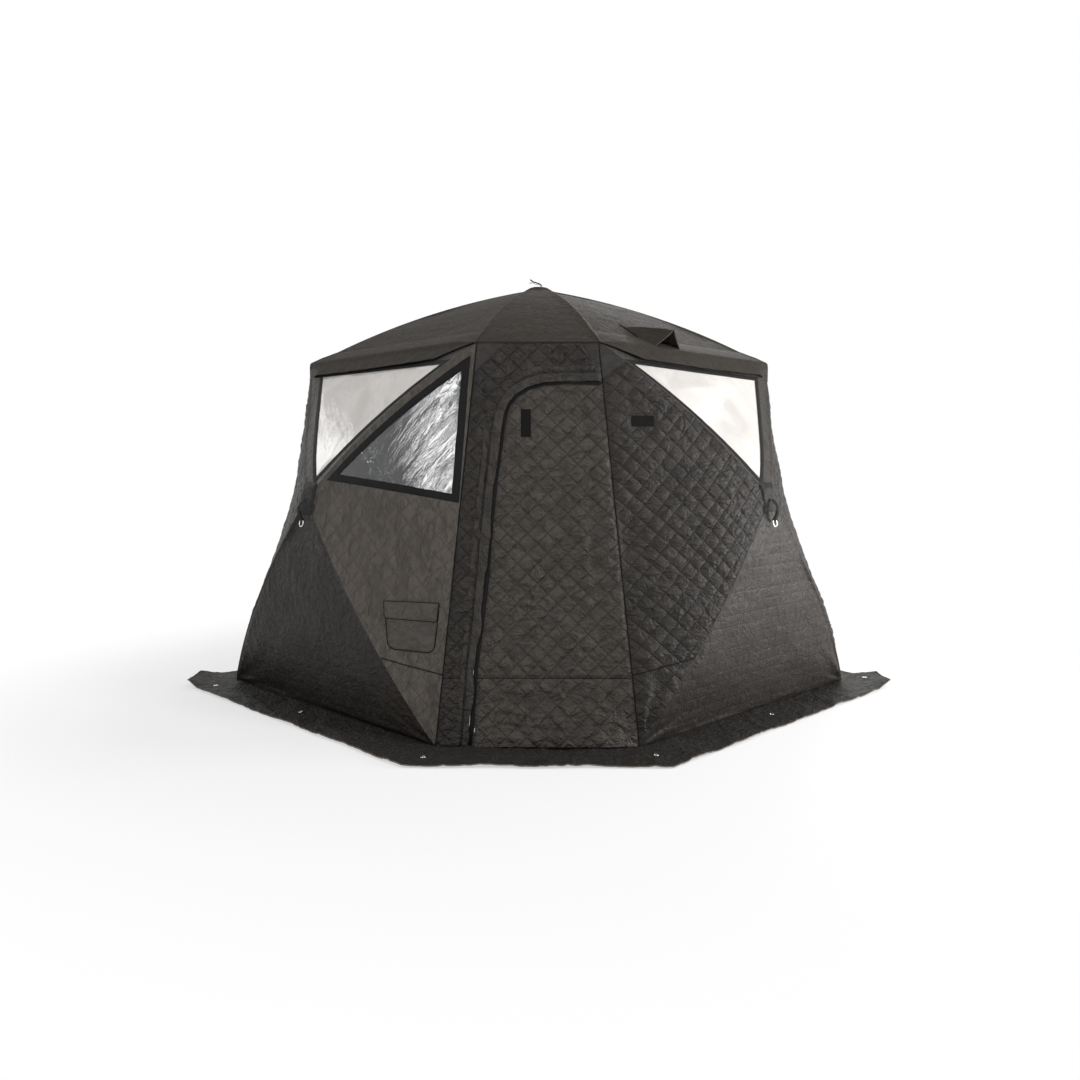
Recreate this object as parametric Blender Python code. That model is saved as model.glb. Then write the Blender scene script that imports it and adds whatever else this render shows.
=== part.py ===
"""Pop-up sauna tent: hub walls and roof, hinged door, windows, skirt. Blender 4.5, metres, +Z up."""
import math

import bmesh
import bpy
import numpy as np

# Driving dimensions, metres
EAVE_Z = 1.75  # top edge of the walls
HEM_Z = 0.0085  # line where the walls meet the ground skirt
PEAK_Z = 2.16  # top of the roof hub
EAVE_HALF = 1.24  # half diagonal of the square at the eaves
HEM_HALF = 1.70  # half diagonal of the square at the hem
DOOR_WALL_TOP = 0.27  # half width of the narrow door wall at the eave
DOOR_WALL_HEM = 0.435  # half width of the narrow door wall at the hem
HUB_LEVEL = 1.00  # height at which a wall hub pops out
HUB_POP = 0.29  # how far a wall hub stands out of its wall's plane
POLE_BOW = 0.055  # how far a pole bows outward at its middle
TAUT_BOW = 0.012  # the same for the poles to the outer eave corners, which the cloth keeps straighter
DRAW_IN = 0.115  # how far a tall corner seam is drawn in at its middle
POLE_RADIUS = 0.005
POLE_INSET = 0.0125  # pole centre line below the fabric's ridge
POLE_END = 0.038  # poles stop this far from a corner
HUB_ARM = 0.076  # reach of the hub's sockets
HUB_CAP = 0.048  # radius of the hub's outer cap
FABRIC = 0.003  # thickness of the quilted fabric
FILM = 0.0014  # thickness of the clear window film
SEAM_GAP = 0.0075  # fabric edge to the straight seam it turns on
RIDGE_GAP = 0.004  # fabric edge to the pole ridge
TAPE_RADIUS = 0.004
CORNER_CAP = 0.034  # radius of the corner caps that hold the poles
SKIRT_WIDTHS = (0.26, 0.26, 0.20, 0.20, 0.26)  # at each wall, anticlockwise from the door wall
SKIRT_TIP = 1.925  # half the width between the skirt's two cut-off tips
SKIRT_THICK = 0.0035
GAP = 0.0003  # between pieces that touch

# Plan: corners run anticlockwise from the left side of the door wall
CORNER_NAMES = ("front_left", "front_right", "right", "back", "left")
MID_Y = (HEM_HALF + SKIRT_WIDTHS[2] * math.sqrt(2) - (HEM_HALF - DOOR_WALL_HEM) - SKIRT_WIDTHS[0]) / 2
WALLS = {
    "wall_fr": ("front_right", "right"),
    "wall_br": ("right", "back"),
    "wall_bl": ("back", "left"),
    "wall_fl": ("left", "front_left"),
}

# Window corners as shares of the panel's own corners (seam start, seam end, hub)
WINDOWS = {
    ("wall_fl", "top"): ((0.805, 0.085, 0.11), (0.035, 0.825, 0.14), (0.05, 0.075, 0.875)),
    ("wall_fr", "top"): ((0.83, 0.03, 0.14), (0.085, 0.775, 0.14), (0.075, 0.04, 0.885)),
    ("wall_br", "top"): ((0.80, 0.07, 0.13), (0.07, 0.80, 0.13), (0.075, 0.075, 0.85)),
    ("wall_fl", "front"): ((0.895, 0.045, 0.06), (0.585, 0.370, 0.045), (0.197, 0.040, 0.763)),
    ("wall_br", "front"): ((0.895, 0.045, 0.06), (0.585, 0.370, 0.045), (0.197, 0.040, 0.763)),
    ("wall_bl", "front"): ((0.895, 0.045, 0.06), (0.585, 0.370, 0.045), (0.197, 0.040, 0.763)),
}

# Door wall outline, in its own plane: x across, v up the slope from the hem
ZIP_LINE = (
    (-0.290, 0.020), (-0.276, 0.290), (-0.247, 0.547), (-0.227, 0.763), (-0.209, 0.982), (-0.170, 1.320),
    (-0.153, 1.443), (-0.118, 1.515), (-0.060, 1.560), (0.020, 1.585), (0.200, 1.591),
)
ZIP_TOP = 1.592  # the zip meets the hinge seam here
FLAP_LINE = (
    (-0.356, 0.060), (-0.336, 0.290), (-0.315, 0.547), (-0.298, 0.763), (-0.278, 0.982), (-0.244, 1.320),
    (-0.232, 1.443), (-0.186, 1.550), (-0.090, 1.630), (0.020, 1.662), (0.200, 1.667),
)

# Flue port and its flap on the front left wall, as shares of the side panel's seam ends
STOVE_PORT = ((0.120, 0.532), (0.298, 0.650), (0.189, 0.756), (0.045, 0.651))
STOVE_FLAP = ((0.129, 0.515), (0.312, 0.635), (0.264, 0.680), (0.096, 0.563))

# Roof vent on the front right roof panel, in the same shares: the hood's tip, then its mouth's two ends
VENT = ((0.5775, 0.2105), (0.700, 0.283), (0.534, 0.446))

COLOURS = {
    "quilted_fabric": ((0.035, 0.033, 0.032), 0.92, 0.0),
    "plain_fabric": ((0.030, 0.029, 0.029), 0.85, 0.0),
    "roof_fabric": ((0.045, 0.042, 0.040), 0.80, 0.0),
    "clear_film": ((0.62, 0.66, 0.68), 0.08, 0.0),
    "fibreglass_rod": ((0.05, 0.05, 0.055), 0.35, 0.0),
    "black_plastic": ((0.02, 0.02, 0.02), 0.45, 0.0),
    "black_webbing": ((0.015, 0.015, 0.016), 0.75, 0.0),
    "plated_steel": ((0.60, 0.60, 0.58), 0.25, 1.0),
}


def unit(v):
    return np.asarray(v, float) / np.linalg.norm(v)


def clear_scene():
    for obj in list(bpy.data.objects):
        bpy.data.objects.remove(obj, do_unlink=True)


def material(name):
    found = bpy.data.materials.get(name)
    if found:
        return found
    colour, rough, metal = COLOURS[name]
    mat = bpy.data.materials.new(name)
    mat.use_nodes = True
    shader = mat.node_tree.nodes["Principled BSDF"]
    shader.inputs["Base Color"].default_value = (*colour, 1.0)
    shader.inputs["Roughness"].default_value = rough
    shader.inputs["Metallic"].default_value = metal
    mat.diffuse_color = (*colour, 1.0)
    return mat


def add_object(name, solids, look, pivot=(0.0, 0.0, 0.0), smooth=False):
    """One named object from closed solids, each a pair of vertices and faces."""
    bm = bmesh.new()
    for verts, faces in solids:
        made = [bm.verts.new(np.asarray(v, float) - np.asarray(pivot)) for v in verts]
        for face in faces:
            bm.faces.new([made[i] for i in face])
    bmesh.ops.recalc_face_normals(bm, faces=bm.faces)
    if bm.calc_volume(signed=True) < 0:
        bmesh.ops.reverse_faces(bm, faces=bm.faces)
    mesh = bpy.data.meshes.new(name)
    bm.to_mesh(mesh)
    bm.free()
    for poly in mesh.polygons:
        poly.use_smooth = smooth
    mesh.materials.append(material(look))
    obj = bpy.data.objects.new(name, mesh)
    obj.location = pivot
    bpy.context.scene.collection.objects.link(obj)
    return obj


def fuse(obj, name, solids, pivot):
    """Joins more closed solids to an object, with a Boolean union."""
    tool = add_object(name + "_tool", solids, obj.data.materials[0].name, pivot=pivot)
    union = obj.modifiers.new("union", "BOOLEAN")
    union.operation, union.solver, union.object = "UNION", "EXACT", tool
    bpy.context.view_layer.update()
    whole = bpy.data.meshes.new_from_object(obj.evaluated_get(bpy.context.evaluated_depsgraph_get()))
    obj.modifiers.remove(union)
    obj.data = whole
    whole.name = name
    bpy.data.objects.remove(tool, do_unlink=True)
    return obj


# Points of the frame

def corner(name, top):
    half, door = (EAVE_HALF, DOOR_WALL_TOP) if top else (HEM_HALF, DOOR_WALL_HEM)
    plan = {
        "front_left": (-door, door - half),
        "front_right": (door, door - half),
        "right": (half, 0.0),
        "back": (0.0, half),
        "left": (-half, 0.0),
    }[name]
    return np.array([plan[0], plan[1] - MID_Y, EAVE_Z if top else HEM_Z])


def peak():
    return np.array([0.0, -MID_Y, PEAK_Z])


def wall_frame(wall):
    """The wall's four corners, its outward normal, and its hub point."""
    first, second = WALLS[wall]
    a, b = corner(first, True), corner(second, True)
    c, d = corner(first, False), corner(second, False)
    normal = unit(np.cross(b - a, a + b - c - d))
    share = (HUB_LEVEL - HEM_Z) / (EAVE_Z - HEM_Z)
    middle = (1 - share) * (c + d) / 2 + share * (a + b) / 2
    return a, b, c, d, normal, middle + HUB_POP * normal


def wall_panels(wall):
    """Seam start, seam end of the four panels that meet at the wall's hub."""
    a, b, c, d, _, _ = wall_frame(wall)
    front_first = wall in ("wall_fr", "wall_br")
    near, far = ((a, c), (b, d)) if front_first else ((b, d), (a, c))
    return {"top": (a, b), "bottom": (c, d), "front": near, "rear": far}


def side_normal(end, hub, normal):
    """The direction that a pole bows in: square to it, in the plane of the pole and the normal."""
    along = unit(hub - end)
    return unit(normal - np.dot(normal, along) * along)


def pole_bow(end, hub, share):
    """The bow of the pole between an end and a hub, at a share of the way to the hub."""
    taut = end[2] > hub[2] and end[1] + MID_Y > -DOOR_WALL_TOP
    return TAUT_BOW + (POLE_BOW - TAUT_BOW) * share ** 3 if taut else POLE_BOW


def drawn_in(p0, p1):
    """How the cloth draws the middle of a seam towards the tent's middle, if it is a tall corner seam."""
    if abs(p1[2] - p0[2]) < 1.0 or p0[1] + MID_Y < -DOOR_WALL_TOP:
        return np.zeros(3)
    return -DRAW_IN * unit((p0[0], p0[1] + MID_Y, 0.0))


def surface(p0, p1, hub, normal):
    """The panel's outer surface, as a function of shares of its three corners."""
    n0, n1 = side_normal(p0, hub, normal), side_normal(p1, hub, normal)
    pull = drawn_in(p0, p1)

    def at(a0, a1, ah):
        bow = a0 * pole_bow(p0, hub, ah) * n0 + a1 * pole_bow(p1, hub, ah) * n1
        return a0 * p0 + a1 * p1 + ah * hub + 4 * ah * bow + 4 * a0 * a1 * pull

    return at


# Shapes

def height_over(point, p, q):
    along = unit(q - p)
    off = point - p
    return np.linalg.norm(off - np.dot(off, along) * along)


def cut_corners(corners, cuts, sides):
    """A closed loop round a triangle: each corner cut off, each side in equal steps."""
    loop = []
    for i in range(3):
        here, after = corners[i], corners[(i + 1) % 3]
        start, end = cuts[i][1], 1 - cuts[(i + 1) % 3][0]
        for t in np.linspace(start, end, sides + 1):
            loop.append((1 - t) * here + t * after)
    return loop


def panel_edge(p0, p1, hub, hub_cut, end_cut, sides):
    """The outline of a panel, in shares, clear of the seam, the ridges, the hub and the corners."""
    e0 = RIDGE_GAP / height_over(p0, p1, hub)
    e1 = RIDGE_GAP / height_over(p1, hub, p0)
    eh = SEAM_GAP / height_over(hub, p0, p1)
    corners = [
        np.array([1 - e1 - eh, e1, eh]), np.array([e0, 1 - e0 - eh, eh]), np.array([e0, e1, 1 - e0 - e1]),
    ]
    seam = np.linalg.norm(p1 - p0)
    r0, r1 = np.linalg.norm(hub - p0), np.linalg.norm(hub - p1)
    cuts = [(end_cut / r0, end_cut / seam), (end_cut / seam, end_cut / r1), (hub_cut / r1, hub_cut / r0)]
    return cut_corners(corners, cuts, sides)


def rings(outer, inner, steps):
    return [[(1 - t) * a + t * b for a, b in zip(outer, inner)] for t in np.linspace(0, 1, steps + 1)]


def slab(loops, at, normal, lift, thick, closed_middle):
    """A closed sheet solid over rings of shares, from lift outward down to lift minus thick."""
    n = len(loops[0])
    points = [at(*share) for loop in loops for share in loop]
    if closed_middle:
        points.append(at(*np.mean(loops[-1], axis=0)))
    top = [p + lift * normal for p in points]
    low = [p + (lift - thick) * normal for p in points]
    faces, size = [], len(points)
    for r in range(len(loops) - 1):
        for i in range(n):
            a, b = r * n + i, r * n + (i + 1) % n
            c, d = b + n, a + n
            faces += [(a, b, c), (a, c, d), (size + c, size + b, size + a), (size + d, size + c, size + a)]
    last = (len(loops) - 1) * n
    for i in range(n):
        j = (i + 1) % n
        faces += [(i, size + i, size + j, j)]
        if closed_middle:
            faces += [(last + i, last + j, size - 1), (2 * size - 1, size + last + j, size + last + i)]
        else:
            faces += [(last + i, last + j, size + last + j, size + last + i)]
    return top + low, faces


def tube(path, radius, sides):
    """A closed rod along a list of points."""
    verts, faces = [], []
    side = None
    for i, point in enumerate(path):
        along = unit(path[min(i + 1, len(path) - 1)] - path[max(i - 1, 0)])
        if side is None:
            side = unit(np.cross(along, (0.3, 0.2, 1.0) if abs(along[2]) < 0.9 else (1.0, 0.2, 0.0)))
        side = unit(side - np.dot(side, along) * along)
        other = np.cross(along, side)
        for k in range(sides):
            angle = 2 * math.pi * k / sides
            verts.append(point + radius * (math.cos(angle) * side + math.sin(angle) * other))
    for i in range(len(path) - 1):
        for k in range(sides):
            a, b = i * sides + k, i * sides + (k + 1) % sides
            faces.append((a, b, b + sides, a + sides))
    faces.append(tuple(reversed(range(sides))))
    faces.append(tuple(range(len(verts) - sides, len(verts))))
    return verts, faces


def ring(centre, axis, radius, wire, around, sides):
    """A closed wire ring."""
    x = unit(np.cross(axis, (0.31, 0.42, 0.85)))
    y = np.cross(unit(axis), x)
    verts, faces = [], []
    for i in range(around):
        angle = 2 * math.pi * i / around
        out = math.cos(angle) * x + math.sin(angle) * y
        for k in range(sides):
            turn = 2 * math.pi * k / sides
            verts.append(centre + out * (radius + wire * math.cos(turn)) + unit(axis) * wire * math.sin(turn))
    for i in range(around):
        for k in range(sides):
            a, b = i * sides + k, i * sides + (k + 1) % sides
            c, d = ((i + 1) % around) * sides + (k + 1) % sides, ((i + 1) % around) * sides + k
            faces.append((a, b, c, d))
    return verts, faces


def ball(centre, radius, around, rows):
    verts, faces = [centre + np.array([0, 0, radius])], []
    for r in range(1, rows):
        tilt = math.pi * r / rows
        for i in range(around):
            angle = 2 * math.pi * i / around
            flat = (math.sin(tilt) * math.cos(angle), math.sin(tilt) * math.sin(angle), math.cos(tilt))
            verts.append(centre + radius * np.array(flat))
    verts.append(centre - np.array([0, 0, radius]))
    for i in range(around):
        j = (i + 1) % around
        faces.append((0, 1 + i, 1 + j))
        for r in range(rows - 2):
            a, b = 1 + r * around + i, 1 + r * around + j
            faces.append((a, a + around, b + around, b))
        low = 1 + (rows - 2) * around
        faces.append((len(verts) - 1, low + j, low + i))
    return verts, faces


def prism(outline, across, up, out, origin, low, high):
    """A flat outline in the plane of two directions, given thickness along a third."""
    n = len(outline)
    flat = [np.asarray(origin, float) + x * across + v * up for x, v in outline]
    verts = [p + high * out for p in flat] + [p + low * out for p in flat]
    faces = [tuple(range(n)), tuple(reversed(range(n, 2 * n)))]
    faces += [(i, n + i, n + (i + 1) % n, (i + 1) % n) for i in range(n)]
    return verts, faces


def hub_solid(hub, normal, ends):
    """Socket cross at the poles' depth, a stem through the fabric and a round cap above, in one solid."""
    arms = [end - hub for end in ends]
    depth = min(np.dot(arm, normal) for arm in arms)
    x = unit(arms[0] - np.dot(arms[0], normal) * normal)
    y = np.cross(normal, x)
    angles = sorted(math.atan2(np.dot(arm, y), np.dot(arm, x)) for arm in arms)
    cross, turns = [], []
    for i, angle in enumerate(angles):
        after = angles[(i + 1) % len(angles)] + (2 * math.pi if i == len(angles) - 1 else 0)
        root, half = 0.28, math.asin(0.0085 / HUB_ARM)
        spots = ((angle - root, 0.031), (angle - half, HUB_ARM), (angle + half, HUB_ARM), (angle + root, 0.031))
        for turn, reach in spots + (((angle + after) / 2, 0.031),):
            cross.append(reach)
            turns.append(turn)
    n = len(cross)
    stem, cap = [0.016] * n, [HUB_CAP] * n
    rim = [HUB_CAP - 0.004] * n
    levels = (
        (depth - 0.006, cross), (depth + 0.0055, cross), (depth + 0.0055, stem), (0.0003, stem),
        (0.0003, cap), (0.0040, cap), (0.0062, rim),
    )
    verts = [
        hub + z * normal + r * (math.cos(t) * x + math.sin(t) * y)
        for z, reach in levels for r, t in zip(reach, turns)
    ]
    faces = [tuple(reversed(range(n))), tuple(range(len(verts) - n, len(verts)))]
    for level in range(len(levels) - 1):
        for i in range(n):
            a, b = level * n + i, level * n + (i + 1) % n
            faces.append((a, b, b + n, a + n))
    return verts, faces


# Pieces

def pole_path(end, hub, normal, axis):
    """Centre line of a pole, from its corner cap to its socket in the hub."""
    bow, length = side_normal(end, hub, normal), np.linalg.norm(hub - end)

    def at(s):
        return (1 - s) * end + s * hub + (4 * pole_bow(end, hub, s) * s * (1 - s) - POLE_INSET) * bow

    stop = 1.0
    for _ in range(30):
        p = at(stop)
        reach = p - hub - np.dot(p - hub, axis) * axis
        stop -= (HUB_ARM + 3 * GAP - np.linalg.norm(reach)) / length
    return [at(s) for s in np.linspace(POLE_END / length, stop, 8)]


def pole_pair(name, p0, p1, hub, axis):
    """Two poles, held at the hub by a keeper arc that goes half way round it."""
    paths = [pole_path(end, hub, axis, axis) for end in (p0, p1)]
    pair = add_object(name, [tube(path, POLE_RADIUS, 6) for path in paths], "fibreglass_rod", pivot=p0,
                      smooth=True)
    ends = [path[-1] + 0.010 * unit(path[-2] - path[-1]) for path in paths]
    spokes = [end - hub - np.dot(end - hub, axis) * axis for end in ends]
    depth = [np.dot(end - hub, axis) for end in ends]
    x = unit(spokes[0])
    y = unit(spokes[1] - np.dot(spokes[1], x) * x)
    sweep = math.acos(np.dot(unit(spokes[0]), unit(spokes[1])))
    reach = np.linalg.norm(spokes[0])
    arc = [
        hub + reach * (math.cos(t * sweep) * x + math.sin(t * sweep) * y)
        + ((1 - t) * depth[0] + t * depth[1] - 0.005 * math.sin(math.pi * t)) * axis
        for t in np.linspace(0, 1, 9)
    ]
    return fuse(pair, name, [tube(arc, 0.0022, 6)], p0)


def fabric_panel(name, p0, p1, hub, normal, look, window=None):
    at = surface(p0, p1, hub, normal)
    face = unit(np.cross(p1 - p0, hub - p0))
    face = face if np.dot(face, normal) > 0 else -face
    outer = panel_edge(p0, p1, hub, 0.040, 0.050, 6)
    if window is None:
        middle = np.mean(outer, axis=0)
        inner = [0.25 * share + 0.75 * middle for share in outer]
        solid = slab(rings(outer, inner, 2), at, face, 0.0, FABRIC, True)
        return add_object(name, [solid], look, pivot=p0, smooth=True)
    corners = [np.array(share) for share in window]
    hole = cut_corners(corners, [(0.03, 0.03)] * 3, 6)
    solid = slab(rings(outer, hole, 3), at, face, 0.0, FABRIC, False)
    panel = add_object(name, [solid], look, pivot=p0, smooth=True)
    middle = np.mean(hole, axis=0)
    spans = [np.linalg.norm(at(*share) - at(*middle)) for share in hole]
    edge = [share + (middle - share) * 3 * GAP / span for share, span in zip(hole, spans)]
    inner = [0.3 * share + 0.7 * middle for share in edge]
    film = slab(rings(edge, inner, 2), at, face, -0.0008, FILM, True)
    add_object(name.replace("_panel_", "_window_"), [film], "clear_film", pivot=p0, smooth=True)
    return panel


def wall(name):
    _, _, _, _, normal, hub = wall_frame(name)
    for side, (p0, p1) in wall_panels(name).items():
        look = "plain_fabric" if side == "bottom" else "quilted_fabric"
        fabric_panel(f"{name}_panel_{side}", p0, p1, hub, normal, look, WINDOWS.get((name, side)))
    ends = wall_panels(name)
    for side, label in (("top", "upper"), ("bottom", "lower")):
        p0, p1 = ends[side]
        pole_pair(f"{name}_poles_{label}", p0, p1, hub, normal)
    tips = [pole_path(end, hub, normal, normal)[-1] for side in ("top", "bottom") for end in ends[side]]
    add_object(f"{name}_hub", [hub_solid(hub, normal, tips)], "black_plastic", pivot=hub)
    wall_strap(name, hub, normal)


def wall_strap(name, hub, normal):
    """Webbing pull loop that hangs from the hub's cap, with its metal ring."""
    across = unit(np.cross((0.0, 0.0, 1.0), normal))
    up = np.cross(normal, across)
    pin = hub + 0.0125 * normal - 0.012 * up
    outline = (
        (-0.0125, 0.004), (-0.0125, -0.085), (-0.009, -0.097), (0.009, -0.097), (0.0125, -0.085), (0.0125, 0.004),
    )
    band = prism(outline, across, up, normal, pin, -0.0015, 0.0015)
    strap = add_object(f"{name}_strap", [band], "black_webbing", pivot=pin)
    fuse(strap, f"{name}_strap", [ring(pin - 0.111 * up, normal, 0.0165, 0.0026, 10, 5)], pin)


def roof():
    hub, up = peak(), np.array([0.0, 0.0, 1.0])
    tops = {name: corner(name, True) for name in CORNER_NAMES}
    panels = {
        "front": ("front_left", "front_right"), "front_right": ("front_right", "right"),
        "back_right": ("right", "back"), "back_left": ("back", "left"), "front_left": ("left", "front_left"),
    }
    for label, (first, second) in panels.items():
        fabric_panel(f"roof_panel_{label}", tops[first], tops[second], hub, up, "roof_fabric")
    pole_pair("roof_poles_front", tops["front_left"], tops["front_right"], hub, up)
    for name in ("right", "back", "left"):
        rod = tube(pole_path(tops[name], hub, up, up), POLE_RADIUS, 6)
        add_object(f"roof_pole_{name}", [rod], "fibreglass_rod", pivot=tops[name], smooth=True)
    tips = [pole_path(tops[name], hub, up, up)[-1] for name in CORNER_NAMES]
    add_object("roof_hub", [hub_solid(hub, up, tips)], "black_plastic", pivot=hub)
    roof_strap(hub)


def roof_strap(hub):
    """Pull loop that stands on the roof hub."""
    x, y, z = np.eye(3)
    pin = hub + np.array([0.0, 0.0, 0.0115])
    outline = ((-0.0125, -0.003), (0.0125, -0.003), (0.0125, 0.030), (0.008, 0.036), (-0.008, 0.036),
               (-0.0125, 0.030))
    add_object("roof_strap", [prism(outline, x, z, y, pin, -0.0015, 0.0015)], "black_webbing", pivot=pin)


def door_plane():
    """Origin at the middle of the hem, directions across, up the slope and outward."""
    low = (corner("front_left", False) + corner("front_right", False)) / 2
    high = (corner("front_left", True) + corner("front_right", True)) / 2
    across, up = np.array([1.0, 0.0, 0.0]), unit(high - low)
    return low, across, up, np.cross(across, up), np.linalg.norm(high - low)


def seam_x(v, height, inset):
    """Distance of the door wall's edge from the middle, at height v."""
    half = DOOR_WALL_HEM + (DOOR_WALL_TOP - DOOR_WALL_HEM) * v / height
    return half - inset


def door_wall():
    low, across, up, out, height = door_plane()
    edge = 0.0085
    top = height - edge
    left = [(-seam_x(v, height, edge), v) for v in (top - 0.045, 1.2, 0.6, 0.05)]
    zip_side = [(x - GAP, v + 0.5 * GAP) for x, v in ZIP_LINE]
    right = seam_x(ZIP_TOP, height, edge)
    outline = [(-seam_x(top, height, 0.050), top)] + left + [(ZIP_LINE[0][0] - GAP, 0.05)] + zip_side[1:]
    outline += [(right, ZIP_TOP + GAP), (seam_x(top - 0.045, height, edge), top - 0.045),
                (seam_x(top, height, 0.050), top)]
    solid = prism(outline, across, up, out, low, -FABRIC, 0.0)
    add_object("front_panel", [solid], "quilted_fabric", pivot=low)

    inner = [(x - 0.004, v + 0.004) for x, v in ZIP_LINE[1:]]
    strip = [*FLAP_LINE[1:], *reversed(inner)]
    strip = [(FLAP_LINE[0][0], 0.06)] + strip + [(ZIP_LINE[0][0] - 0.004, 0.06)]
    flap = prism(strip, across, up, out, low, GAP, GAP + 0.002)
    add_object("storm_flap", [flap], "plain_fabric", pivot=low)


def door():
    """The door leaf, hinged on the right-hand seam, and the slider of its zip."""
    low, across, up, out, height = door_plane()
    hinge = corner("front_right", False)
    gap = 0.0075
    leaf = [(x + GAP, v - 0.5 * GAP) for x, v in ZIP_LINE]
    outline = leaf + [(seam_x(ZIP_TOP, height, gap), ZIP_TOP - GAP), (seam_x(0.045, height, gap), 0.045),
                      (seam_x(0.020, height, 0.035), 0.020)]
    solid = prism(outline, across, up, out, low, -FABRIC, 0.0)
    add_object("door_leaf", [solid], "quilted_fabric", pivot=hinge)

    x0, v0 = ZIP_LINE[1]
    x1, v1 = ZIP_LINE[5]
    along = unit(across * (x1 - x0) + up * (v1 - v0))
    side = np.cross(along, out)
    start = low + across * (ZIP_LINE[0][0] + 0.026) + up * 0.070
    shape = ((-0.005, -0.009), (0.005, -0.009), (0.006, 0.006), (0.003, 0.011), (-0.003, 0.011), (-0.006, 0.006))
    body = prism(shape, side, along, out, start, GAP, 0.0075)
    pull = ((-0.0035, -0.004), (-0.0045, -0.040), (0.0045, -0.040), (0.0035, -0.004))
    slider = add_object("door_zip_slider", [body], "plated_steel", pivot=start)
    fuse(slider, "door_zip_slider", [prism(pull, side, along, out, start, 0.0040, 0.0058)], start)


def quad_loop(corners, steps):
    """A closed loop of shares round four corners, each given as the shares of the two seam ends."""
    loop = []
    for here, after in zip(corners, corners[1:] + corners[:1]):
        for t in np.arange(steps) / steps:
            a0, a1 = ((1 - t) * h + t * g for h, g in zip(here, after))
            loop.append(np.array([a0, a1, 1 - a0 - a1]))
    return loop


def laid_piece(name, ends, hub, normal, corners, lift, thick, look, pivot_on_top):
    """A flat piece that lies over a fabric panel."""
    p0, p1 = ends
    at = surface(p0, p1, hub, normal)
    face = unit(np.cross(p1 - p0, hub - p0))
    face = face if np.dot(face, normal) > 0 else -face
    outer = quad_loop(corners, 4)
    middle = np.mean(outer, axis=0)
    inner = [0.35 * share + 0.65 * middle for share in outer]
    spots = corners[:2] if pivot_on_top else corners
    pivot = np.mean([at(a0, a1, 1 - a0 - a1) for a0, a1 in spots], axis=0) + (lift - thick / 2) * face
    add_object(name, [slab(rings(outer, inner, 1), at, face, lift, thick, True)], look, pivot=pivot, smooth=True)


def flue_port():
    """Heat-proof patch of the flue port, and the cover flap that turns up on its top edge."""
    _, _, _, _, normal, hub = wall_frame("wall_fl")
    ends = wall_panels("wall_fl")["front"]
    laid_piece("stove_port", ends, hub, normal, STOVE_PORT, 0.0025, 0.0012, "plain_fabric", False)
    laid_piece("stove_flap", ends, hub, normal, STOVE_FLAP, 0.0050, 0.0018, "plain_fabric", True)


def vent_frame():
    """Tip of the vent hood, directions along the eave, down the roof and out, how far down the mouth is, how
    far along the eave its middle is from the tip, and half its width."""
    a, b, hub = corner("front_right", True), corner("right", True), peak()
    at = surface(a, b, hub, np.array([0.0, 0.0, 1.0]))
    head, left, right = (at(a0, a1, 1 - a0 - a1) for a0, a1 in VENT)
    way = (left + right) / 2 - head
    across = unit(b - a)
    shift, half = np.dot(way, across), np.dot(right - left, across) / 2
    down = unit(way - shift * across)
    out = unit(np.cross(down, across))
    return head, across, down, out if out[2] > 0 else -out, np.dot(way, down), shift, half


def vent_screen():
    """Insect screen in the roof under the vent hood."""
    tip, left, right = (np.array(share) for share in VENT)
    spots = ((0.35, 0.2), (0.35, 0.8), (0.88, 0.85), (0.88, 0.15))
    corners = [tuple((1 - t) * tip + t * ((1 - s) * left + s * right)) for t, s in spots]
    ends = corner("front_right", True), corner("right", True)
    laid_piece("vent_screen", ends, peak(), np.array([0.0, 0.0, 1.0]), corners, 0.0025, 0.0012, "black_webbing",
               False)


def vent_hood():
    """Roof vent: a raised hood, pointed uphill, that tips up on its upper end."""
    head, across, down, out, length, shift, half = vent_frame()
    pin = head + 0.008 * out
    roof_line, skin = 0.010, 0.003
    rim = ((-1.0, roof_line), (-0.55, 0.053), (-0.12, 0.094), (0.12, 0.094), (0.55, 0.053), (1.0, roof_line))
    n = len(rim)
    outer = [head + 0.25 * half * x * across + (0.010 + 0.10 * (h - roof_line)) * out for x, h in rim]
    outer += [head + (shift + half * x) * across + length * down + h * out for x, h in rim]
    inner = [p - skin * out for p in outer]
    verts, faces, size = outer + inner, [], 2 * n
    for i in range(n - 1):
        faces += [(i, i + 1, n + i + 1, n + i), (size + n + i, size + n + i + 1, size + i + 1, size + i)]
        faces += [(i + 1, i, size + i, size + i + 1), (n + i, n + i + 1, size + n + i + 1, size + n + i)]
    faces += [(0, n, size + n, size), (n - 1, size + n - 1, size + 2 * n - 1, 2 * n - 1)]
    add_object("vent_hood", [(verts, faces)], "plain_fabric", pivot=pin)


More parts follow.
